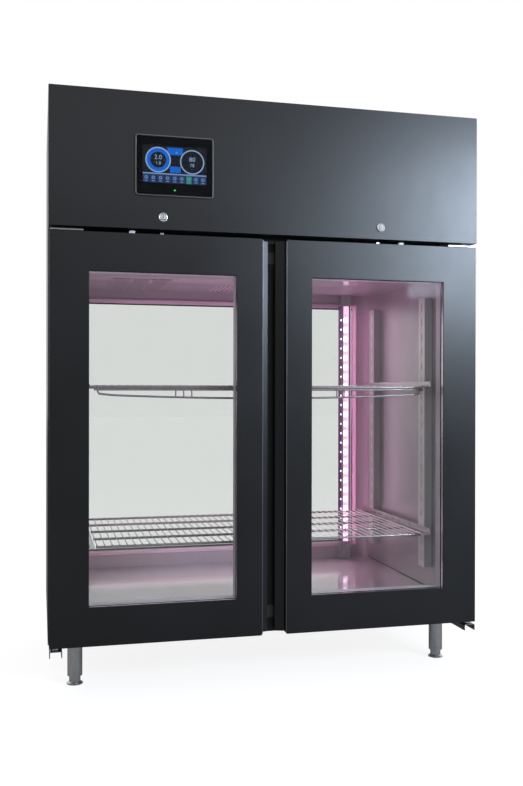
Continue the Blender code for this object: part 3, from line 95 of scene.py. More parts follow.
# %% [markdown]
# The camera. It stood in front of the left side casing, about three metres away and a metre above the
# floor, turned a little to the right. It could be placed by eye, but its place and lens come from a fit to
# the corners of the header and the doors.

# %% Camera
def into_scene(name, data):
    obj = bpy.data.objects.new(name, data)
    bpy.context.scene.collection.objects.link(obj)
    return obj


camera_data = bpy.data.cameras.new("camera")
camera_data.lens = 40.98
camera_data.sensor_width = 36
camera = into_scene("camera", camera_data)
camera.location = (-0.775, -3.388, 0.991)
camera.rotation_euler = [math.radians(angle) for angle in (89.84, -0.09, -13.90)]
bpy.context.scene.camera = camera
print("camera at", tuple(round(value, 3) for value in camera.location))

# %% [markdown]
# The light. Black satin paint shows little of its own colour: what one sees in it is the room. In the
# photograph a tall window stands to the right, so the doors run from near black at the lower left to a
# blue-grey at the upper right. One big soft lamp to the right does the same, a weaker one fills from the
# left, and two more keep the header and the top from going black. Lamps are used rather than painted
# shading, so the sheen stays right from every side.

# %% Lamps
def softbox(name, place, aim, size, power, colour):
    data = bpy.data.lights.new(name, "AREA")
    data.shape = "RECTANGLE"
    data.size, data.size_y = size
    data.energy = power
    data.color = colour
    lamp = into_scene(name, data)
    lamp.location = place
    lamp.rotation_euler = (Vector(aim) - Vector(place)).to_track_quat("-Z", "Y").to_euler()
    lamp.visible_camera = False
    return lamp


softbox("window_light", (2.64, -3.75, 2.24), (0.5, -0.4, 1.5), (1.4, 1.02), 158, (0.70, 0.83, 1.0))
softbox("front_light", (-0.2, -3.9, 2.9), (0, -0.4, 1.6), (3.4, 1.2), 10.5, (0.92, 0.95, 1.0))
softbox("fill_light", (-3.6, -2.2, 2.9), (0, 0, 1.0), (1.4, 2.4), 32, (1.0, 0.98, 0.96))
softbox("top_light", (0.2, 0.6, 4.6), (0, 0, 1.0), (2.6, 2.6), 50, (1.0, 1.0, 1.0))
print("lamps:", len(bpy.data.lights))

# %% [markdown]
# The surroundings. The world is white where the camera looks, straight or through glass. Rays mirrored
# in metal or paint see the white behind the cabinet, and a dimmer room in front of it, which fades in
# between: a black door in an all-white room would look milky. The floor is a pale matt sheet with a glow
# of its own on top, so it is white and still shows the cabinet's shadow.

# %% Small groups of nodes
def fill(node, **values):
    """Sets inputs by name, with _ for a space."""
    for name, value in values.items():
        node.inputs[name.replace("_", " ")].default_value = value
    return node


def add(tree, kind, **values):
    return fill(tree.nodes.new("ShaderNode" + kind), **values)


def join(first, output, second, socket):
    first.id_data.links.new(first.outputs[output], second.inputs[socket])


def combine(tree, operation, first, second):
    """A Math node on two inputs, each a socket or a plain number."""
    node = add(tree, "Math")
    node.operation = operation
    for socket, value in zip(node.inputs, (first, second)):
        if isinstance(value, float):
            socket.default_value = value
        else:
            tree.links.new(value, socket)
    return node.outputs["Value"]


def spread_over(tree, value, start, end, low, high):
    """A Map Range node that carries a value from one pair of limits to another."""
    spread = add(tree, "MapRange", From_Min=start, From_Max=end, To_Min=low, To_Max=high)
    tree.links.new(value, spread.inputs["Value"])
    return spread


def seen_by(tree, mirrored):
    """One for rays from the camera and through glass, and a share of one for mirrored rays."""
    rays = add(tree, "LightPath").outputs
    direct = combine(tree, "MAXIMUM", rays["Is Camera Ray"], rays["Is Transmission Ray"])
    share = combine(tree, "MULTIPLY", rays["Is Glossy Ray"], mirrored)
    return combine(tree, "MAXIMUM", direct, share)


# %% World
ROOM_SHARE = 0.31  # how bright the room in front is, where the white behind the cabinet is 1
world = bpy.data.worlds.new("studio")
bpy.context.scene.world = world
world.use_nodes = True
tree = world.node_tree
axes = add(tree, "SeparateXYZ")
join(add(tree, "TexCoord"), "Generated", axes, "Vector")
shade = spread_over(tree, axes.outputs["Y"], -0.30, 0.30, ROOM_SHARE, 1.0)
shade.interpolation_type = "SMOOTHSTEP"
strength = combine(tree, "MAXIMUM", seen_by(tree, ROOM_SHARE), shade.outputs["Result"])
white = fill(tree.nodes["Background"], Color=(1, 1, 1, 1))
tree.links.new(strength, white.inputs["Strength"])
bpy.context.scene.view_settings.view_transform = "Standard"
print("world ready")


# %% Plain material
def shader_of(material):
    return material.node_tree.nodes["Principled BSDF"]


def start_finish(name, colour, roughness, metallic=0.0):
    material = bpy.data.materials.new(name)
    material.use_nodes = True
    fill(shader_of(material), Base_Color=(*colour, 1), Roughness=roughness, Metallic=metallic)
    return material


# %% Floor
FLOOR_GREY, FLOOR_GLOW, FLOOR_MIRRORED = 0.21, 0.86, 0.1
bm = bmesh.new()
bmesh.ops.create_grid(bm, x_segments=1, y_segments=1, size=30)
floor_mesh = bpy.data.meshes.new("floor")
bm.to_mesh(floor_mesh)
bm.free()
floor = into_scene("floor", floor_mesh)
floor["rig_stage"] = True
matt = start_finish("floor_matt", (FLOOR_GREY, FLOOR_GREY, FLOOR_GREY), 0.9)
fill(shader_of(matt), Specular_IOR_Level=0.1)
tree = matt.node_tree
glow = add(tree, "Emission", Color=(FLOOR_GLOW, FLOOR_GLOW, FLOOR_GLOW, 1))
both = add(tree, "AddShader")
tree.links.new(seen_by(tree, FLOOR_MIRRORED), glow.inputs["Strength"])
join(shader_of(matt), "BSDF", both, 0)
join(glow, "Emission", both, 1)
join(both, "Shader", tree.nodes["Material Output"], "Surface")
floor_mesh.materials.append(matt)
print("floor ready")

# %% [markdown]
# Finishes share a few moves: lay a pattern over the piece, let it move a value or the colour of the shader
# between two limits, and let it raise the surface a little. Patterns read Object coordinates in metres,
# so a grain that is half a millimetre wide is that wide on every piece.

# %% Moves that every finish uses
def pattern(material, scale, stretch=(1, 1, 1), kind="Noise", **settings):
    """A texture laid over the piece; a large stretch makes it fine in that direction."""
    tree = material.node_tree
    fit = add(tree, "Mapping", Scale=stretch)
    texture = add(tree, "Tex" + kind, Scale=scale, **settings)
    join(add(tree, "TexCoord"), "Object", fit, "Vector")
    join(fit, "Vector", texture, "Vector")
    return texture


def vary(material, texture, socket, low, high, start=0.3, end=0.7):
    """Moves one value of the shader with the texture. A second call adds to the first."""
    tree, target = material.node_tree, shader_of(material).inputs[socket]
    result = spread_over(tree, texture.outputs[0], start, end, low, high).outputs["Result"]
    if target.is_linked:
        result = combine(tree, "ADD", target.links[0].from_socket, result)
    tree.links.new(result, target)


def tint(material, texture, dark, light, start=0.3, end=0.7):
    """Runs the base colour from dark to light with the texture."""
    tree = material.node_tree
    ramp = add(tree, "ValToRGB")
    for stop, place, colour in zip(ramp.color_ramp.elements, (start, end), (dark, light)):
        stop.position, stop.color = place, (*colour, 1)
    join(texture, 0, ramp, "Fac")
    join(ramp, "Color", shader_of(material), "Base Color")


def emboss(material, texture, strength, distance):
    """Raises the surface with the texture."""
    tree = material.node_tree
    bump = add(tree, "Bump", Strength=strength, Distance=distance)
    join(texture, 0, bump, "Height")
    join(bump, "Normal", shader_of(material), "Normal")


def across_piece(material, mirrored=False):
    """The X of each point, in metres; mirrored, how far it lies from the middle."""
    tree = material.node_tree
    axes = add(tree, "SeparateXYZ")
    join(add(tree, "TexCoord"), "Object", axes, "Vector")
    if not mirrored:
        return axes
    aside = add(tree, "Math")
    aside.operation = "ABSOLUTE"
    join(axes, "X", aside, 0)
    return aside


print("finish moves ready")

# %% [markdown]
# Black powder paint covers the doors, the header and the casings. Up close it has a faint orange peel,
# two or three millimetres from crest to crest, and its gloss is uneven where hands and cloths have been.
# A noise for the peel and a slow one for the gloss give both; a scanned texture would need unwrapping.

# %% Paints
def painted(name, colour, roughness, peel=0.10):
    paint = start_finish(name, colour, roughness)
    fill(shader_of(paint), Specular_IOR_Level=0.48)
    lighter = [value * 1.35 + 0.001 for value in colour]
    slow = pattern(paint, 2.2, Detail=3.0)
    tint(paint, slow, colour, lighter, 0.35, 0.75)
    vary(paint, slow, "Roughness", roughness - 0.04, roughness + 0.04)
    wiped = pattern(paint, 5.0, (4, 4, 0.8), Detail=3.0)
    vary(paint, wiped, "Roughness", -0.004, 0.008)
    emboss(paint, pattern(paint, 420.0, Detail=1.0), peel, 0.0003)
    return paint


black_paint = painted("black_powder_paint", (0.0038, 0.0040, 0.0050), 0.34)
black_sheet = painted("black_coated_sheet", (0.010, 0.010, 0.011), 0.50, 0.14)
plant_black = painted("compressor_enamel", (0.008, 0.008, 0.009), 0.30, 0.05)
grip_black = painted("grip_strip_paint", (0.0060, 0.0068, 0.0085), 0.34, 0.03)
print("paints:", [m.name for m in (black_paint, black_sheet, plant_black, grip_black)])

# %% [markdown]
# Brushed stainless steel. The brush leaves scratches much longer than wide, so its noise is stretched a
# few hundred times in one direction. The scratches move the roughness more than the colour. The liner is
# the same metal in a brighter grade. It mirrors sharply at a low angle and spreads light softly
# otherwise, so it gets a rough base and a thin coat over it, smooth on the floor and duller on the walls.
# Rails, uprights and trim are only part metal here, so the light that fills the cabinet brightens them.

# %% Brushed metals
def brushed(name, colour, roughness, stretch, swing=0.06, depth=0.04):
    metal = start_finish(name, colour, roughness, 1.0)
    grain = pattern(metal, 3.0, stretch, Detail=4.0, Roughness=0.65)
    tint(metal, grain, [v * 0.90 for v in colour], [min(v * 1.06, 0.95) for v in colour])
    vary(metal, grain, "Roughness", roughness - swing, roughness + swing)
    handled = pattern(metal, 6.0, Detail=3.0)
    vary(metal, handled, "Roughness", -0.02, 0.05, 0.45, 0.75)
    emboss(metal, grain, depth, 0.00005)
    return metal


ACROSS_Z = (260, 260, 1.2)
ACROSS_X = (1.2, 260, 260)
stainless = brushed("brushed_stainless", (0.60, 0.60, 0.61), 0.28, ACROSS_Z)
rail_steel = brushed("rail_stainless", (0.62, 0.59, 0.60), 0.26, (260, 1.2, 260))
standard_steel = brushed("standard_stainless", (0.70, 0.70, 0.69), 0.32, ACROSS_Z, 0.04, 0.02)
front_steel = brushed("front_standard_stainless", (0.88, 0.90, 0.87), 0.34, ACROSS_Z, 0.04, 0.02)
for metal, share in ((rail_steel, 0.6), (standard_steel, 0.6), (front_steel, 0.25)):
    fill(shader_of(metal), Metallic=share)
# The liner steel is neutral. The faint pink in its colour is painted light, standing for the pink glow of
# the strip.
bright_liner = brushed("bright_liner_steel_painted_pink", (0.56, 0.51, 0.54), 0.44, ACROSS_Z, 0.05, 0.02)
fill(shader_of(bright_liner), Metallic=0.55, Coat_Weight=0.75, Coat_IOR=1.7)
SMOOTH_COAT, DULL_COAT = 0.05, 0.24
wall_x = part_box("inner_liner")[1].x
aside = across_piece(bright_liner, mirrored=True)
vary(bright_liner, aside, "Coat Roughness", SMOOTH_COAT, DULL_COAT, wall_x - 0.030, wall_x - 0.010)
aluminium = brushed("drawn_aluminium", (0.74, 0.75, 0.77), 0.30, ACROSS_Z, 0.05, 0.03)
# The spacer's lilac tint is painted light from the strip.
spacer_painted_lilac = brushed("bright_rolled_spacer", (0.70, 0.60, 0.69), 0.24, ACROSS_Z, 0.03, 0.02)
# The trim's pale pink colour is painted light from the strip. The steel itself is plain.
trim_painted_pink_light = brushed("window_trim_painted_pink_light", (0.80, 0.62, 0.71), 0.32, ACROSS_X, 0.04, 0.02)
fill(shader_of(trim_painted_pink_light), Metallic=0.3)
edge_metal = brushed("dark_anodised_edge", (0.16, 0.165, 0.175), 0.38, ACROSS_Z, 0.04, 0.02)
copper = brushed("drawn_copper", (0.72, 0.36, 0.23), 0.26, (40, 40, 40), 0.07, 0.02)
print("brushed metals:", stainless.name, bright_liner.name)

# %% [markdown]
# Zinc, chrome and bright wire. Hot-dipped sheet freezes into flat crystals, each with its own sheen: a
# Voronoi pattern gives them. The plated lock parts are smooth, with only a breath of unevenness. The thin
# wires of the shelves shine beside the light strip and look dull away from it. This light and shade is
# painted, as a colour that runs along X from dark to bright, with a faint painted glow near the strip.

# %% Zinc, chrome and bright wire
def plated(name, colour, roughness, cell, swing):
    metal = start_finish(name, colour, roughness, 1.0)
    crystals = pattern(metal, cell, kind="Voronoi", Randomness=1.0)
    tint(metal, crystals, [v * 0.86 for v in colour], colour, 0.0, 0.8)
    vary(metal, crystals, "Roughness", roughness - swing, roughness + swing, 0.0, 0.8)
    emboss(metal, pattern(metal, 160.0, Detail=2.0), 0.05, 0.0002)
    return metal


zinc = plated("spangled_zinc", (0.60, 0.61, 0.62), 0.34, 90.0, 0.08)
chrome = plated("chrome_plate", (0.80, 0.79, 0.80), 0.32, 300.0, 0.04)
lock_nickel = plated("satin_nickel", (0.88, 0.85, 0.85), 0.50, 300.0, 0.04)
plug_nickel = plated("plug_nickel", (0.66, 0.60, 0.60), 0.50, 300.0, 0.04)
for nickel in (lock_nickel, plug_nickel):
    fill(shader_of(nickel), Metallic=0.15, Specular_IOR_Level=0.30)
hinge_steel = plated("hinge_steel", (0.17, 0.17, 0.175), 0.36, 90.0, 0.05)
bracket_steel = plated("bracket_steel", (0.34, 0.33, 0.34), 0.34, 90.0, 0.05)
# The wire steel is neutral. The pink in its colour is painted light from the strip.
wire_painted_pink = plated("electropolished_wire", (0.56, 0.49, 0.50), 0.24, 500.0, 0.05)
fill(shader_of(wire_painted_pink), Metallic=0.6)
# Painted light and shade: the thin wires run from a painted shade to a painted highlight along X, with a
# painted glow near the strip.
WIRE_PAINTED_LIGHT, WIRE_PAINTED_SHADE = (0.76, 0.66, 0.69), (0.36, 0.29, 0.31)
PAINTED_SHADE_X, PAINTED_LIGHT_X = -0.10, 0.20
thin_wire_painted_light = plated("polished_thin_wire", WIRE_PAINTED_LIGHT, 0.26, 500.0, 0.05)
fill(shader_of(thin_wire_painted_light), Metallic=0.5, Emission_Color=(1.0, 0.86, 0.92, 1))
aside = across_piece(thin_wire_painted_light)
vary(thin_wire_painted_light, aside, "Emission Strength", 0.0, 0.24, PAINTED_SHADE_X, PAINTED_LIGHT_X)
tint(thin_wire_painted_light, aside, WIRE_PAINTED_SHADE, WIRE_PAINTED_LIGHT, 0.0, PAINTED_LIGHT_X)
print("plated:", zinc.name, chrome.name, wire_painted_pink.name, thin_wire_painted_light.name)

# %% [markdown]
# Plastics, rubber and foam. Moulded plastic has a fine spark-eroded skin, the door seal is soft and
# matt with a dusty bloom, and the foam in the walls shows its cells.

# %% Plastics, rubber and foam
def moulded(name, colour, roughness, skin=700.0, depth=0.12):
    plastic = start_finish(name, colour, roughness)
    cloud = pattern(plastic, 9.0, Detail=3.0)
    tint(plastic, cloud, colour, [v * 1.25 + 0.002 for v in colour], 0.35, 0.75)
    vary(plastic, cloud, "Roughness", roughness - 0.04, roughness + 0.05)
    emboss(plastic, pattern(plastic, skin, Detail=2.0), depth, 0.0003)
    return plastic


grey_plastic = moulded("grey_moulded_plastic", (0.30, 0.32, 0.35), 0.46)
plate_grey = moulded("contact_plate_grey", (0.085, 0.085, 0.080), 0.50)
light_plastic = moulded("pale_moulded_plastic", (0.62, 0.63, 0.65), 0.40)
dark_plastic = moulded("dark_moulded_plastic", (0.016, 0.016, 0.018), 0.42)
rubber = moulded("seal_rubber", (0.012, 0.012, 0.013), 0.72, 350.0, 0.10)
foam = moulded("blown_foam", (0.72, 0.62, 0.40), 0.88, 260.0, 0.55)
print("moulded:", grey_plastic.name, rubber.name, foam.name)

# %% [markdown]
# Glass. A pane reflects a few parts in a hundred when seen square on and more at a glancing angle, and the
# rest goes straight through. Mixing a Transparent shader with a Glossy one by Fresnel gives this, and
# lets lamps shine through it, which a Principled glass of this size wouldn't. Each unit has four faces in
# a row that mirror the room, so the index is set low to keep their sum as faint as on the real doors.

# %% Glass
MIRROR_INDEX = 1.08


def clear_glass(name, colour):
    glass = start_finish(name, colour, 0.0)
    tree = glass.node_tree
    tree.nodes.remove(shader_of(glass))
    through = add(tree, "BsdfTransparent", Color=(*colour, 1))
    back = add(tree, "BsdfGlossy", Color=(1, 1, 1, 1))
    edge = add(tree, "Fresnel", IOR=MIRROR_INDEX)
    smudges = pattern(glass, 3.5, (1, 1, 0.5), Detail=5.0)
    spread = spread_over(tree, smudges.outputs[0], 0.45, 0.8, 0.012, 0.10)
    blend = add(tree, "MixShader")
    join(spread, "Result", back, "Roughness")
    join(edge, "Fac", blend, "Fac")
    join(through, "BSDF", blend, 1)
    join(back, "BSDF", blend, 2)
    join(blend, "Shader", tree.nodes["Material Output"], "Surface")
    return glass


pane_glass = clear_glass("window_glass", (0.950, 0.955, 0.952))
cover_glass = clear_glass("display_cover_glass", (0.96, 0.97, 0.98))
print("glass:", pane_glass.name, cover_glass.name)

# %% [markdown]
# Things that shine: the lamps of the light strip and what the display shows. The shader gives off a
# plain colour, over a matt skin of the same colour. The strip's board, flank and lip and the strips behind
# the rear slots are not lamps. Their glow is painted light from the strip.

# %% Light and display colours
def shining(name, colour, strength, roughness=0.4):
    lit = start_finish(name, colour, roughness)
    glow = {"Emission_Color": (*colour, 1), "Emission_Strength": strength}
    fill(shader_of(lit), Specular_IOR_Level=0.10, **glow)
    vary(lit, pattern(lit, 240.0, Detail=1.0), "Roughness", roughness - 0.05, roughness + 0.08)
    return lit


led_glow = shining("light_strip_lamps", (1.0, 0.82, 0.98), 2.6)
# Painted glow: the board, flank and lip of the strip are not lamps. They glow with painted light from its
# lamps.
led_board_painted_glow = shining("light_strip_board_painted_glow", (1.0, 0.66, 0.88), 1.0)
led_flank_painted_glow = shining("light_strip_flank_painted_glow", (0.085, 0.022, 0.100), 0.9, 0.25)
# The strips behind the rear slots are not lamps. Their glow is painted light from the strip beside them.
slot_strip_painted_glow = shining("painted_glow_behind_slots", (0.66, 0.52, 0.58), 0.85)
led_lip_painted_glow = shining("light_strip_lip_painted_glow", (0.62, 0.33, 0.50), 0.8, 0.25)
screen_dark = shining("screen_ground", (0.0060, 0.0062, 0.0100), 0.8, 0.25)
screen_blue = shining("screen_blue", (0.003, 0.072, 0.300), 0.9)
screen_slate = shining("screen_slate", (0.010, 0.028, 0.075), 0.9)
screen_sky = shining("screen_sky", (0.115, 0.170, 0.290), 0.9)
screen_pale = shining("screen_pale", (0.17, 0.23, 0.33), 0.9)
screen_green = shining("screen_green", (0.006, 0.110, 0.080), 0.9)
signal_green = shining("signal_green", (0.10, 0.95, 0.16), 1.4)
screen_surround = moulded("screen_surround", (0.0012, 0.0010, 0.0011), 0.30, 900.0, 0.02)
fill(shader_of(screen_surround), Specular_IOR_Level=0.05)
rim_metal = brushed("display_rim_metal", (0.14, 0.14, 0.145), 0.36, ACROSS_X, 0.05, 0.02)
print("lit:", led_glow.name, screen_blue.name)

# %% [markdown]
# Every CAD node first gets the finish of its slot. Those that are sharp-edged sheet metal in the CAD are
# then swapped for a merged copy with rounded edges, because a real bent or cut edge always catches a
# thin line of light. A modifier does the rounding: it only turns edges that are sharp.

# %% Finishes of the CAD nodes
LOOKS = {
    "black_paint": black_paint, "black_sheet": black_sheet, "plant_black": plant_black,
    "stainless": stainless, "bright_liner": bright_liner, "zinc": zinc, "aluminium": aluminium,
    "chrome": chrome, "grey_plastic": grey_plastic, "dark_plastic": dark_plastic,
    "rubber": rubber, "foam": foam, "glass": pane_glass, "screen_glass": screen_surround,
    "light": led_glow, "copper": copper,
}
for name, node in nodes.items():
    own = node.data.materials[0].name.split(".")[0]
    node.data.materials.clear()
    node.data.materials.append(LOOKS[own])


# %% New pieces
EDGE_ANGLE = 30  # degrees; an edge that turns by more is rounded


def new_piece(name, bm, material, body="cabinet", sharp=35, even=True):
    """Closes a bmesh into an object in the shared frame, riding on a body."""
    bmesh.ops.remove_doubles(bm, verts=bm.verts, dist=1e-6)
    bmesh.ops.recalc_face_normals(bm, faces=bm.faces)
    mesh = bpy.data.meshes.new(name)
    bm.to_mesh(mesh)
    bm.free()
    mesh.shade_smooth()
    mesh.set_sharp_from_angle(angle=math.radians(sharp))
    mesh.materials.append(material)
    obj = into_scene(name, mesh)
    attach(obj, body)
    if even:
        flat = obj.modifiers.new("flat faces stay flat", "WEIGHTED_NORMAL")
        flat.keep_sharp = True
    return obj


def soften(piece, title, width, segments=2):
    """Rounds the sharp edges of a piece with a modifier."""
    bevel = piece.modifiers.new(title, "BEVEL")
    bevel.width, bevel.segments = width, segments
    bevel.limit_method = "ANGLE"
    bevel.angle_limit = math.radians(EDGE_ANGLE)
    bevel.harden_normals = True


def rounded_copy(node, width, material=None):
    """Stands a merged copy with rounded edges in for a CAD node."""
    source = nodes[node]
    bm = bmesh.new()
    bm.from_mesh(source.data)
    bmesh.ops.remove_doubles(bm, verts=bm.verts, dist=1e-5)
    bmesh.ops.dissolve_limit(bm, angle_limit=math.radians(0.5), verts=bm.verts, edges=bm.edges)
    look, body = material or source.data.materials[0], source["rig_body"]
    obj = new_piece(node + "_finished", bm, look, body, EDGE_ANGLE, even=False)
    soften(obj, "rounded edges", width)
    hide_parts(node)
    return obj


# %% Rounded sheet metal
ROUNDED = {
    "*_door_frame": 0.0018, "header_panel": 0.0009, "*_side_casing": 0.0005, "top_cover": 0.0008,
    "rear_grille": 0.0006, "rear_casing": 0.0005, "display_housing": 0.0008,
    "*_lock_housing": 0.0008, "*_lock_keeper": 0.0008, "*_bottom_hinge_arm": 0.0008,
    "*_top_hinge_bracket": 0.0006, "centre_mullion": 0.0014, "front_frame": 0.0008,
    "led_profile": 0.0006, "front_*_standard": 0.0005, "rear_*_standard": 0.0005,
    "power_inlet": 0.0008, "base_tray": 0.0006,
}
finished = {}
for name, width in ROUNDED.items():
    for side in SIDES if "*" in name else ("",):
        node = name.replace("*", side)
        finished[node] = rounded_copy(node, width)
PIN_X, PIN_Y, COLLAR_RADIUS = 0.7255, -0.421, 0.0106  # the hinge pins and the collars round them
for side, way in SIDES.items():
    finished[side + "_top_hinge_bracket"].data.materials[0] = bracket_steel
    arm = finished[side + "_bottom_hinge_arm"].data
    arm.materials[0] = hinge_steel
    arm.materials.append(chrome)
    pin = Vector((way * PIN_X, PIN_Y))
    for face in arm.polygons:
        if (face.center.xy - pin).length < COLLAR_RADIUS:
            face.material_index = 1
    for end, steel in (("front", front_steel), ("rear", standard_steel)):
        finished[f"{end}_{side}_standard"].data.materials[0] = steel
print("rounded:", len(finished))

# %% [markdown]
# Small shapes that recur: a block between two corners, a flat ring round an opening and a round bar.
# Each starts from one of bmesh's own shapes. The ring is a sheet, inset, with its middle taken out
# and then drawn out to its depth, as a frame is cut from plate.

# %% Blocks and frames
def block(bm, corner, opposite, edge=0.0):
    """A block between two opposite corners, with its edges rounded if asked."""
    low = Vector([*map(min, corner, opposite)])
    high = Vector([*map(max, corner, opposite)])
    place = Matrix.Translation((low + high) / 2) @ Matrix.Diagonal((*(high - low), 1))
    made = bmesh.ops.create_cube(bm, size=1, matrix=place)["verts"]
    if edge:
        edges = list({e for v in made for e in v.link_edges})
        bmesh.ops.bevel(
            bm, geom=edges, offset=edge, segments=2, profile=0.5, affect="EDGES", material=-1
        )


def block_piece(name, corner, opposite, look, body="cabinet", edge=0.0):
    bm = bmesh.new()
    block(bm, corner, opposite, edge)
    return new_piece(name, bm, look, body)


def front_middle(low, high):
    """The middle of the front of a box."""
    return Vector(((low.x + high.x) / 2, low.y, (low.z + high.z) / 2))


def stood_up(place):
    """Puts a flat shape in a place, upright in the plane of the doors."""
    return Matrix.Translation(place) @ Matrix.Rotation(math.pi / 2, 4, "X")


def cut_middle(bm, sheet, wall):
    """Insets a sheet by the width of a wall, takes its middle out and gives back its rim."""
    rim = bmesh.ops.inset_region(
        bm, faces=[sheet], thickness=wall, use_boundary=True, use_even_offset=True
    )["faces"]
    bmesh.ops.delete(bm, geom=[sheet], context="FACES")
    return rim


def draw_out(bm, faces, way):
    """Gives flat faces a depth."""
    drawn = bmesh.ops.extrude_face_region(bm, geom=faces)["geom"]
    moved = [part for part in drawn if isinstance(part, bmesh.types.BMVert)]
    bmesh.ops.translate(bm, verts=moved, vec=way)


def ring_piece(name, low, high, wall, look, body="cabinet", sharp=35):
    """A rectangular frame in the plane of the doors, between two corners, with a wall of one width."""
    low, high = Vector(low), Vector(high)
    size = high - low
    place = stood_up(front_middle(low, high)) @ Matrix.Diagonal((size.x, size.z, 1, 1))
    bm = bmesh.new()
    made = bmesh.ops.create_grid(bm, x_segments=1, y_segments=1, size=0.5, matrix=place)["verts"]
    draw_out(bm, cut_middle(bm, made[0].link_faces[0], wall), (0, size.y, 0))
    return new_piece(name, bm, look, body, sharp)


# %% Bars and screws
def bar(bm, start, end, radius, sides=12, end_radius=None):
    """A round bar, or a cone, from one point to another."""
    start, end = Vector(start), Vector(end)
    run = end - start
    turn = run.to_track_quat("Z", "Y").to_matrix().to_4x4()
    place = Matrix.Translation((start + end) / 2) @ turn
    tip = radius if end_radius is None else end_radius
    return bmesh.ops.create_cone(
        bm, cap_ends=True, segments=sides, radius1=radius, radius2=tip, depth=run.length, matrix=place
    )["verts"]


def screw(bm, seat, outward, radius):
    """A low domed head with a socket in it, standing on its seat."""
    seat, outward = Vector(seat), Vector(outward)
    verts = bar(bm, seat, seat + outward * radius * 0.5, radius, 16, radius * 0.72)
    faces = {f for v in verts for f in v.link_faces}
    top = max(faces, key=lambda face: face.calc_center_median().dot(outward))
    bmesh.ops.inset_region(bm, faces=[top], thickness=radius * 0.30)
    bmesh.ops.translate(bm, verts=top.verts, vec=-outward * radius * 0.22)


print("bars and screws ready")

# %% [markdown]
# The uprights that carry the shelves are closed behind their slots, so a slot shows as a shallow pocket and
# not as a black hole. A thin strip inside each channel does this. Those of the rear pair have a painted
# glow, for the light of the strip that stands right beside them. A thin dark strip runs where walls and
# floor meet.

# %% Strips behind the slots
STRIP_NEAR, STRIP_FAR = 0.0023, 0.0033  # the strip's two sides, from the face of its channel
for end, look in (("front", front_steel), ("rear", slot_strip_painted_glow)):
    bm = bmesh.new()
    for side, way in SIDES.items():
        low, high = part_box(f"{end}_{side}_standard")
        web = low.x if side == "right" else high.x
        block(
            bm,
            (web + way * STRIP_NEAR, low.y + 0.0035, low.z + 0.002),
            (web + way * STRIP_FAR, high.y - 0.0035, high.z - 0.002),
        )
    new_piece(end + "_standard_strips", bm, look)
print("strips behind the slots: 4")

# %% Dark strips along the floor
POST_FOOT, SEAM_REACH = 0.080, 0.335  # the uprights end above the floor; half of a bead's length
post_low, post_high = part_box("front_right_standard")
wall_face, floor_z = post_high.x, post_low.z - POST_FOOT
bm = bmesh.new()
for way in SIDES.values():
    corner = (way * (wall_face - 0.0020), -SEAM_REACH, floor_z + 0.0001)
    block(bm, corner, (way * wall_face, SEAM_REACH, floor_z + 0.0014))
new_piece("floor_corner_strips", bm, rubber)
print("floor seams: 2")

# %% [markdown]
# The glass units. Each is two panes held apart by a hollow aluminium bar, with a black seal outside the
# bar. From the front one sees the bar as a bright double line inside the edge of the window. Its lilac
# tint is painted light from the strip, put into the bar's colour. A pane is a block with ground edges
# rather than a flat sheet, because its edges show at the corners.

# %% Glass units
PANE, SEAL, SPACER = 0.004, 0.003, 0.007  # a pane's thickness, the width of the seal and of the bar


def glass_unit(node, body):
    low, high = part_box(node)
    for face, start in (("outer", low.y), ("inner", high.y - PANE)):
        corner, opposite = (low.x, start, low.z), (high.x, start + PANE, high.z)
        sheet = block_piece(
            f"{node}_{face}_pane", corner, opposite, pane_glass, body, 0.0006
        )
        if face == "outer":
            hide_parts(node)
    front, back = low.y + PANE + 0.0001, high.y - PANE - 0.0001
    corner, opposite = (low.x, front, low.z), (high.x, back, high.z)
    ring_piece(node + "_edge_seal", corner, opposite, SEAL, rubber, body)
    inner = SEAL + 0.0002
    corner = (low.x + inner, front, low.z + inner)
    opposite = (high.x - inner, back, high.z - inner)
    spacer = ring_piece(
        node + "_spacer", corner, opposite, SPACER, spacer_painted_lilac, body
    )
    soften(spacer, "drawn edges", 0.0006)


for side in SIDES:
    glass_unit(side + "_door_glazing", side + "_door")
glass_unit("rear_glazing", "cabinet")
print("glass units: 3")

# %% [markdown]
# The inner door frames. The strip beside the slab is painted like the door, the returns that face the
# glass are pale plastic, and the rear that faces the cold room is grey plastic. One copy of the node
# carries all three finishes: each face is given its own by where it lies and which way it looks.

# %% Inner door frames
def dress_inner_frame(side):
    low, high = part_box(side + "_door_glazing")
    obj = rounded_copy(side + "_door_inner_frame", 0.0010, grip_black)
    obj.data.materials.append(light_plastic)
    obj.data.materials.append(grey_plastic)
    pale = 0
    for face in obj.data.polygons:
        middle, way = face.center, face.normal
        inside = low.x < middle.x < high.x and low.z < middle.z < high.z
        if inside and abs(way.y) < 0.5:
            face.material_index = 1
            pale += 1
        elif way.y > 0.9 and middle.y > high.y:
            face.material_index = 2
    print(side, "inner frame, pale faces beside the glass:", pale)


for side in SIDES:
    dress_inner_frame(side)

# %% [markdown]
# A thin black bead seals the outer pane to the slab, all round the window. It is what the eye reads
# as the dark line at the top edge of the glass.

# %% Beads round the windows
SLAB_LAP, BEAD = 0.012, 0.0016  # how far the slab laps over the pane, and the width of the bead
lap = SLAB_LAP - BEAD / 2
for side in SIDES:
    low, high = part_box(side + "_door_glazing")
    corner = (low.x + lap, low.y - 0.0012, low.z + lap)
    opposite = (high.x - lap, low.y - 0.0001, high.z - lap)
    ring_piece(side + "_window_bead", corner, opposite, BEAD, rubber, side + "_door")
print("beads: 2")

# %% [markdown]
# A thin dark anodised strip closes the edge of each slab that faces the other door. It is what shows as a
# fine light line on both sides of the gap, brightest at the top where the window is mirrored in it.

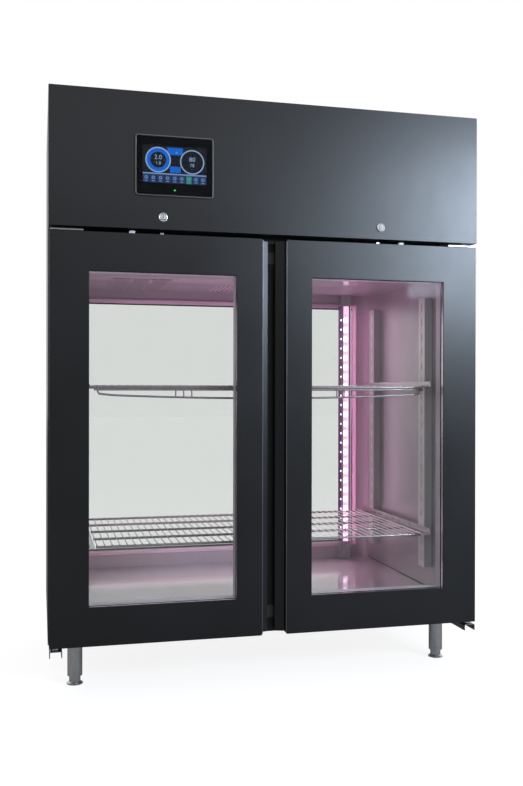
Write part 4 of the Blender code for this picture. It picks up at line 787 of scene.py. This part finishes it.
# %% Edge strips beside the gap
for side, way in SIDES.items():
    low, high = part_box(side + "_door_frame")
    edge, body = high.x if side == "left" else low.x, side + "_door"
    corner = (edge - way * 0.0001, low.y + 0.0012, low.z + 0.004)
    opposite = (edge - way * 0.0032, low.y + 0.0048, high.z - 0.004)
    block_piece(body + "_edge_strip", corner, opposite, edge_metal, body, 0.0006)
print("edge strips: 2")

# %% [markdown]
# The wire shelves. In the photograph each is a sheet of thin wires, an inch apart, that run from front to
# back and lie on five thick rods, and the ends of the wires show as a row of bright dots. Round wires
# with eight sides are light enough to repeat, and replace the flat grid of the solid. Each wire gets a
# short thicker end, so the dots show.

# %% Wire shelves
THIN, THICK, WIRE_END = 0.0016, 0.0045, 0.0021  # radii of the thin wires, the rods and the wires' ends
WIRES, RODS = 48, 5


def wire_shelf(node):
    low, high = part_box(node)
    top, inset = high.z - THIN, 0.004
    rod_z = top - THIN - THICK + 0.0008
    step = (high.x - low.x - 2 * inset) / WIRES
    bm = bmesh.new()
    for index in range(WIRES + 1):
        x, end_z = low.x + inset + index * step, top + 0.0004
        bar(bm, (x, low.y + 0.0008, top), (x, high.y - 0.0008, top), THIN, 8)
        bar(bm, (x, low.y + 0.0002, end_z), (x, low.y + 0.0100, end_z), WIRE_END, 8)
    fine = new_piece(node + "_thin_wires", bm, thin_wire_painted_light, sharp=50)
    reach, side_x, side_z = high.x - 0.0262, high.x - 0.0032, top + 0.0010
    bm = bmesh.new()
    for index in range(RODS):
        y = low.y + THICK + index * (high.y - low.y - 2 * THICK) / (RODS - 1)
        bar(bm, (-reach, y, rod_z), (reach, y, rod_z), THICK, 14)
    for x in (-side_x, side_x):
        bar(bm, (x, low.y + 0.001, side_z), (x, high.y - 0.001, side_z), 0.0030, 10)
    shelf = new_piece(node + "_wires", bm, wire_painted_pink, sharp=50)
    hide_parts(node)
    faces = len(shelf.data.polygons) + len(fine.data.polygons)
    print(node, "wires:", WIRES + 1, "faces:", faces)


for level in ("lower", "upper"):
    wire_shelf(level + "_wire_shelf")
    for side in SIDES:
        rounded_copy(f"{level}_{side}_shelf_rail", 0.0005, rail_steel)

# %% [markdown]
# The upper shelf carries more weight, so a straight bar and a bowed rod are welded under its front edge as
# a truss. The bowed one is one round bar, bent: short straight bars with a ball at each bend would show
# joints, so a circle is drawn along the bow and the rings are bridged one to the next.

# %% Truss under the upper shelf
ROD, TIE, POST = 0.0036, 0.0034, 0.0024  # radii of the bowed rod, the straight bar and the posts
STEPS = 24


def bent_rod(bm, points, radius, sides=12):
    """A round bar through a row of points, closed at both ends."""
    rings = []
    for index, point in enumerate(points):
        before = points[max(index - 1, 0)]
        after = points[min(index + 1, len(points) - 1)]
        turn = (after - before).to_track_quat("Z", "Y").to_matrix().to_4x4()
        made = bmesh.ops.create_circle(
            bm, segments=sides, radius=radius, matrix=Matrix.Translation(point) @ turn
        )["verts"]
        rings.append(list({edge for vert in made for edge in vert.link_edges}))
    for first, second in zip(rings, rings[1:]):
        bmesh.ops.bridge_loops(bm, edges=first + second)
    for ring in (rings[0], rings[-1]):
        bmesh.ops.contextual_create(bm, geom=ring)


def truss(node):
    low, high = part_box(node)
    y, reach, top = low.y + THICK, high.x - 0.032, high.z - 2 * THIN - THICK
    deep, end = low.z + ROD, low.z + 0.013 + ROD

    def hang(share):
        """The height of the bow, from -1 at its left end to 1 at its right."""
        return end + (deep - end) * (1 - share * share)

    shoulder = ((0, top), (0, end + 0.010), (0.003, end + 0.003))
    shares = [2 * n / STEPS - 1 for n in range(1, STEPS)]
    points = [Vector((x - reach, y, z)) for x, z in shoulder]
    points += [Vector((reach * share, y, hang(share))) for share in shares]
    points += [Vector((reach - x, y, z)) for x, z in reversed(shoulder)]
    bm = bmesh.new()
    bent_rod(bm, points, ROD)
    for share in (-0.5, 0.0, 0.5):
        for beside in (-0.028, 0.0, 0.028):
            x = reach * share + beside
            bar(bm, (x, y, hang(share)), (x, y, top), POST, 10)
    tie_z, tie_x = low.z + 0.0335, reach + 0.0130
    bar(bm, (-tie_x, y, tie_z), (tie_x, y, tie_z), TIE)
    for x in (-tie_x + TIE, tie_x - TIE):
        bar(bm, (x, y, tie_z - TIE), (x, y, top), TIE)
    rod = new_piece(node + "_truss", bm, wire_painted_pink, sharp=50)
    print(node, "truss hangs", round(top - low.z, 4), "m, faces:", len(rod.data.polygons))


truss("upper_wire_shelf")

# %% [markdown]
# The light: a strip of small lamps in an aluminium profile that stands before the rear wall, as tall as the
# rear window. The lamps glow. The board between them, the profile's purple flank beside them and its lip
# carry a painted glow for the light of the lamps that falls on them.

# %% Board and tray
strip_low, strip_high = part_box("led_strip")
channel_low, channel_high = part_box("led_profile")
window_low, window_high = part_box("rear_glazing")
lit_low, lit_high = window_low.z + 0.018, window_high.z - 0.004
corner = (strip_low.x, strip_low.y + 0.0035, lit_low)
opposite = (strip_high.x, strip_high.y, lit_high)
block_piece("led_board_painted_glow", corner, opposite, led_board_painted_glow, edge=0.0004)
corner = (strip_low.x, strip_low.y + 0.0045, strip_low.z)
opposite = (strip_high.x, strip_high.y - 0.001, strip_high.z)
tray = block_piece("led_tray", corner, opposite, aluminium)
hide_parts("led_strip")
print("lit length:", round(lit_high - lit_low, 3))

# %% Lamps of the strip
PITCH = 0.0415
lamp_x, face_y = strip_low.x + 0.0095, strip_low.y
count = int((lit_high - lit_low) / PITCH)
bm, dark = bmesh.new(), bmesh.new()
for index in range(count):
    z = lit_low + PITCH * (index + 0.5)
    between = z + PITCH / 2
    corner = (lamp_x - 0.0075, face_y + 0.0005, z - 0.0095)
    block(bm, corner, (lamp_x + 0.0085, face_y + 0.0036, z + 0.0095), 0.0012)
    corner = (channel_low.x - 0.0006, face_y, z - 0.004)
    block(bm, corner, (channel_low.x + 0.0006, face_y + 0.009, z + 0.004))
    corner = (lamp_x - 0.0015, face_y + 0.0026, between - 0.003)
    block(dark, corner, (lamp_x + 0.0015, face_y + 0.0036, between + 0.003), 0.0004)
new_piece("led_lamps", bm, led_glow)
new_piece("led_resistors", dark, grey_plastic)
print("lamps in the strip:", count)

# %% Flank and lip of the profile
bm = bmesh.new()
corner = (channel_low.x - 0.0003, channel_low.y + 0.0004, lit_low)
block(bm, corner, (channel_low.x + 0.0002, channel_high.y, lit_high))
corner = (strip_high.x + 0.0006, channel_low.y - 0.0003, lit_low)
block(bm, corner, (strip_high.x + 0.0060, channel_low.y + 0.0002, lit_high))
new_piece("led_flank_painted_glow", bm, led_flank_painted_glow)
lip_radius = 0.0020
lip_x = channel_high.x - lip_radius
bm = bmesh.new()
bar(bm, (lip_x, channel_low.y, lit_low), (lip_x, channel_low.y, lit_high), lip_radius, 10)
new_piece("led_lip_painted_glow", bm, led_lip_painted_glow)
print("flank and lip ready")

# %% [markdown]
# What the strip lights. A slim lamp in front of it throws its light into the room, because so many small
# glowing faces alone would leave the picture grainy. It is turned away from the near side wall. On the real
# cabinet much of this light comes back from the bright ceiling, floor and walls. Following those many
# bounces takes long, so three soft lamps that no mirror shows stand for them.

# %% Light of the strip
tall, half_way = lit_high - lit_low, (lit_low + lit_high) / 2
place, aim = (lamp_x, face_y - 0.006, half_way), (lamp_x - 0.75, face_y - 1.0, half_way)
strip_glow = softbox("shelf_light", place, aim, (0.024, tall), 2.6, (1.0, 0.46, 0.80))
strip_glow.data.spread = math.radians(150)
beside_x, beside_y = channel_high.x, channel_low.y
place, aim = (beside_x + 0.012, beside_y + 0.010, half_way), (beside_x + 1.0, beside_y + 0.12, half_way)
wall_glow = softbox("wall_glow", place, aim, (0.016, tall), 0.38, (1.0, 0.46, 0.78))
place, aim = (-0.10, 0.02, 1.04), (-0.10, 0.03, 1.41)
up_glow = softbox("ceiling_glow", place, aim, (1.0, 0.55), 3.3, (1.0, 0.64, 0.92))
place, aim = (-0.10, 0.05, 0.40), (-0.10, 0.30, 0.18)
low_glow = softbox("floor_glow", place, aim, (1.0, 0.12), 1.3, (1.0, 0.72, 0.86))
for lamp in (strip_glow, wall_glow, up_glow, low_glow):
    lamp.visible_glossy = False
print("soft lamps inside: 4")

# %% [markdown]
# A half-round steel trim frames the rear window inside. Its curved face gathers light from all over the
# room, and its pale pink colour is painted light from the strip. Together they make the bright line above
# and below the window. It is a flat ring whose edges a wide bevel rounds until they meet.

# %% Trim round the rear window
REVEAL_X, WALL_Y, TRIM = 0.578, 0.3940, 0.0185  # half the opening, the wall's face, the trim's reach
reveal_low, reveal_high = window_low.z + 0.012, window_high.z - 0.012
corner = (-REVEAL_X - TRIM, WALL_Y - 0.0085, reveal_low - TRIM)
opposite = (REVEAL_X + TRIM, WALL_Y - 0.0002, reveal_high + TRIM)
trim = ring_piece(
    "rear_window_trim", corner, opposite, 0.0180, trim_painted_pink_light, sharp=50
)
soften(trim, "rounded face", 0.0078, 6)
print("rear window trim ready")

# %% [markdown]
# The display. Behind a thin cover of clear glass lies a dark panel, and on it a lit picture with two round
# dials, a row of small signs and plain numbers. Every sign is a plate of its own colour, in layers less
# than a tenth of a millimetre apart, so that no picture file is needed.

# %% Cover and panel of the display
PANEL_DEPTH, LAYER = 0.0016, 0.00006  # how deep the panel lies behind the glass; one layer of signs
glass_low, glass_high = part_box("display_glass")
centre = front_middle(glass_low, glass_high)
corner = (glass_high.x, glass_low.y + 0.0010, glass_high.z)
cover = block_piece(
    "display_cover", glass_low, corner, cover_glass, edge=0.0003
)
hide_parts("display_glass")
corner = (glass_low.x, glass_low.y + PANEL_DEPTH, glass_low.z)
block_piece("display_panel", corner, glass_high, screen_surround)
print("glass:", [round(value, 3) for value in glass_high - glass_low])


# %% Signs and rings
def on_picture(x, z, level):
    """A place on the picture, from the middle of the glass and by its layer."""
    return centre + Vector((x, PANEL_DEPTH - level * LAYER, z))


def sign(bm, x, z, width, height, level):
    """A thin plate on the picture."""
    place = on_picture(x, z, level)
    half = Vector((width / 2, 0, height / 2))
    block(bm, place - half, place + half + Vector((0, LAYER * 0.8, 0)))


def dial_ring(bm, x, z, outer, inner, level):
    """A flat ring on the picture, or a round plate where it has no inner radius."""
    place = stood_up(on_picture(x, z, level))
    made = bmesh.ops.create_circle(bm, cap_ends=True, segments=48, radius=outer, matrix=place)["verts"]
    disc = made[0].link_faces[0]
    rim = cut_middle(bm, disc, outer - inner) if inner else [disc]
    draw_out(bm, rim, (0, LAYER * 0.8, 0))


def screen_plate(name, look, signs=(), rings=()):
    """One piece of the picture: all its signs and rings of one colour."""
    bm = bmesh.new()
    for ring in rings:
        dial_ring(bm, *ring)
    for plate in signs:
        sign(bm, *plate)
    return new_piece(name, bm, look)


# %% Picture
PICTURE = (0.212, 0.124)
LEFT_DIAL, RIGHT_DIAL = (-0.055, 0.019), (0.058, 0.017)
ROW = [-0.0945 + index * 0.0236 for index in range(9)]
SIGN_ON, CROSS = ROW[6], (0.006, 0.045)
screen_plate("display_picture", screen_dark, [(0, 0.004, *PICTURE, 1)])
rims = [(*LEFT_DIAL, 0.0420, 0.0380, 3), (*RIGHT_DIAL, 0.0405, 0.0368, 3)]
screen_plate("display_dial_rims", screen_pale, rings=rims)
plates = [(0.001, 0.049, 0.052, 0.024, 2), (0.002, -0.011, 0.036, 0.020, 2)]
screen_plate("display_blue", screen_blue, plates, [(*LEFT_DIAL, 0.0380, 0.0262, 3)])
screen_plate("display_line", screen_sky, [(0, -0.0265, PICTURE[0] - 0.001, 0.0042, 2)])
plates = [(x, -0.0430, 0.0205, 0.0250, 2) for x in ROW if x != SIGN_ON]
screen_plate("display_signs", screen_slate, plates)
screen_plate("display_sign_on", screen_green, [(SIGN_ON, -0.0430, 0.0205, 0.0260, 2)])
plates = [(x, -0.0510, 0.0090, 0.0024, 3) for x in ROW]
plates += [(*CROSS, 0.0065, 0.0022, 3), (*CROSS, 0.0022, 0.0065, 4)]
rims = [(x, -0.0400, 0.0052, 0.0030, 3) for x in ROW]
screen_plate("display_sign_marks", screen_sky, plates, rims)
screen_plate("display_signal", signal_green, rings=[(0, -0.0790, 0.0022, 0, 1)])
print("signs in the row:", len(ROW))


# %% Numbers and rim
def number(name, text, size, x, z):
    """Plain figures, drawn as text, made a mesh and then stood up in the plane of the glass."""
    curve = bpy.data.curves.new(name, "FONT")
    curve.body, curve.size, curve.extrude = text, size, LAYER / 2
    curve.align_x, curve.align_y = "CENTER", "CENTER"
    curve.resolution_u = 3
    draft = into_scene(name + "_draft", curve)
    bpy.context.view_layer.update()
    mesh = bpy.data.meshes.new_from_object(draft)
    bpy.data.objects.remove(draft)
    mesh.transform(stood_up(on_picture(x, z, 4)))
    bm = bmesh.new()
    bm.from_mesh(mesh)
    new_piece(name, bm, screen_pale)


LARGE, SMALL = (0.021, 0.008), (0.015, -0.011)  # the height of the figures, and their place on a dial
FIGURES = (
    ("2.0", LARGE, LEFT_DIAL), ("1.8", SMALL, LEFT_DIAL),
    ("80", LARGE, RIGHT_DIAL), ("78", SMALL, RIGHT_DIAL),
)
for index, (text, (size, lift), (x, z)) in enumerate(FIGURES, start=1):
    number(f"display_number_{index}", text, size, x, z + lift)
housing = finished["display_housing"]
housing.data.materials.append(rim_metal)
rim_faces = 0
for face in housing.data.polygons:
    if face.normal.y < -0.5 and face.center.y < glass_low.y + 0.0008:
        face.material_index = 1
        rim_faces += 1
print("numbers:", len(FIGURES), "faces of the display's rim:", rim_faces)

# %% [markdown]
# The lock plugs turn in their housings. A bright raised rim runs round each housing. A thin dark ring
# of painted shade stands for the fine groove that parts it from the plug, and a dark plate of painted
# shade stands for the plug's slot for the key. The rims and the ring are small circles spun about the lock.

# %% Locks
# The dark groove ring and the key slot plate are painted shade, put where the gap and the keyway lie in
# shadow.
LOCK_RINGS = (("rim", 0.0126, 0.0017, chrome), ("groove", 0.0088, 0.0007, dark_plastic))
KEY_SLOT_SHADE_HALF = (0.0011, 0.0045)  # half its width and half its height


def round_trim(bm, centre, radius, thickness):
    """A ring of round section about the Y axis: a small circle, spun all the way round."""
    place = Matrix.Translation(centre + Vector((radius, 0, 0)))
    made = bmesh.ops.create_circle(bm, segments=10, radius=thickness, matrix=place)["verts"]
    edges = list({edge for vert in made for edge in vert.link_edges})
    bmesh.ops.spin(
        bm, geom=made + edges, cent=centre, axis=(0, 1, 0), angle=2 * math.pi, steps=40, use_merge=True
    )


for side in SIDES:
    rounded_copy(side + "_lock_plug", 0.0005, plug_nickel)
    finished[side + "_lock_housing"].data.materials[0] = lock_nickel
    middle = front_middle(*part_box(side + "_lock_housing"))
    for name, radius, thickness, look in LOCK_RINGS:
        bm = bmesh.new()
        round_trim(bm, middle, radius, thickness)
        new_piece(f"{side}_lock_{name}", bm, look)
    plug_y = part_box(side + "_lock_plug")[0].y
    corner = (middle.x - KEY_SLOT_SHADE_HALF[0], plug_y - 0.0003, middle.z - KEY_SLOT_SHADE_HALF[1])
    opposite = (middle.x + KEY_SLOT_SHADE_HALF[0], plug_y + 0.0001, middle.z + KEY_SLOT_SHADE_HALF[1])
    block_piece(
        side + "_key_slot_painted_shade", corner, opposite, dark_plastic, side + "_lock", 0.0001
    )
print("lock plugs: 2")

# %% [markdown]
# Small things that the photograph shows in the gaps: a magnet block on top of each door, and the grey
# contact plates on the upright between the doors.

# %% Door magnets and contact plates
MAGNET_HALF, MAGNET_Y, PLATE_X = 0.0093, (-0.434, -0.410), 0.030
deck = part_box("left_door_frame")[1].z
for side, x in (("left", -0.482), ("right", 0.464)):
    corner = (x - MAGNET_HALF, MAGNET_Y[0], deck + 0.0002)
    opposite = (x + MAGNET_HALF, MAGNET_Y[1], deck + 0.0098)
    body = side + "_door"
    block_piece(body + "_magnet", corner, opposite, light_plastic, body, 0.0012)
mullion_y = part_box("centre_mullion")[0].y
bm = bmesh.new()
for low_z, high_z in ((1.431, 1.471), (0.201, 0.243)):
    corner = (-PLATE_X, mullion_y - 0.0016, low_z)
    block(bm, corner, (PLATE_X, mullion_y - 0.0001, high_z), 0.0005)
new_piece("mullion_contact_plates", bm, plate_grey)
print("magnets and plates ready")

# %% [markdown]
# The screws that hold the casings, the top cover, the rear grille and the power inlet. Each is a low cone
# with its top inset and pushed in for the socket. All go into one mesh, so they are one piece.

# %% Screws
UP, REAR = (0, 0, 1), (0, 1, 0)
HEAD, SMALL_HEAD = 0.0040, 0.0022
bm = bmesh.new()
low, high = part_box("rear_grille")
for x in (-0.70, -0.35, 0.0, 0.35, 0.70):
    for z in (low.z + 0.012, high.z - 0.012):
        screw(bm, (x, high.y, z), REAR, HEAD)
casing_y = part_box("rear_casing")[1].y
for z in (0.20, 0.60, 1.05, 1.47):
    for x in (-0.715, 0.715):
        screw(bm, (x, casing_y, z), REAR, HEAD)
top_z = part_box("top_cover")[1].z
for x in (-0.70, 0.0, 0.70):
    for y in (-0.40, 0.40):
        screw(bm, (x, y, top_z), UP, HEAD)
low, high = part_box("power_inlet")
for beside in (-0.026, 0.026):
    seat = ((low.x + high.x) / 2 + beside, high.y, (low.z + high.z) / 2)
    screw(bm, seat, REAR, SMALL_HEAD)
casing_screws = new_piece("casing_screws", bm, zinc)
print("screws ready, faces:", len(casing_screws.data.polygons))

# %% [markdown]
# A slotted plate under the ceiling covers the air openings. It is a grid whose cells are inset and taken
# out, and then given its thickness. Near the middle a row of short ribs is pressed into the sheet, and
# shows as a few bright strokes. They are thin round bars, partly sunk in the ceiling.

# %% Ceiling plate
CEILING, BRIDGE = 1.410, 0.0080  # the height of the ceiling, and half the sheet between two slots
PLATE_LOW, PLATE_HIGH = Vector((-0.510, -0.010)), Vector((-0.290, 0.362))
size = PLATE_HIGH - PLATE_LOW
middle = (PLATE_LOW + PLATE_HIGH) / 2
place = Matrix.Translation((*middle, CEILING - 0.0022)) @ Matrix.Diagonal((*size, 1, 1))
bm = bmesh.new()
bmesh.ops.create_grid(bm, x_segments=3, y_segments=20, size=0.5, matrix=place)
cells = list(bm.faces)
bmesh.ops.inset_individual(bm, faces=cells, thickness=BRIDGE)
bmesh.ops.delete(bm, geom=cells, context="FACES")
draw_out(bm, list(bm.faces), (0, 0, 0.0015))
new_piece("ceiling_grilles", bm, bright_liner)

# %% Ribs in the ceiling
RIBS, RIB_STEP, RIB_Y = 10, 0.0189, (0.135, 0.300)
rib_z = CEILING - 0.0012
bm = bmesh.new()
for index in range(RIBS):
    x = -0.085 + index * RIB_STEP
    bar(bm, (x, RIB_Y[0], rib_z), (x, RIB_Y[1], rib_z), 0.0022, 12)
# The ribs take the trim's pale pink, which is painted light.
new_piece("ceiling_ribs", bm, trim_painted_pink_light)
print("ceiling plate ready, ribs:", RIBS)

# %% Sizes and the end
low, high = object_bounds()
print("visual box:", [round(v, 4) for v in (*low, *high)])
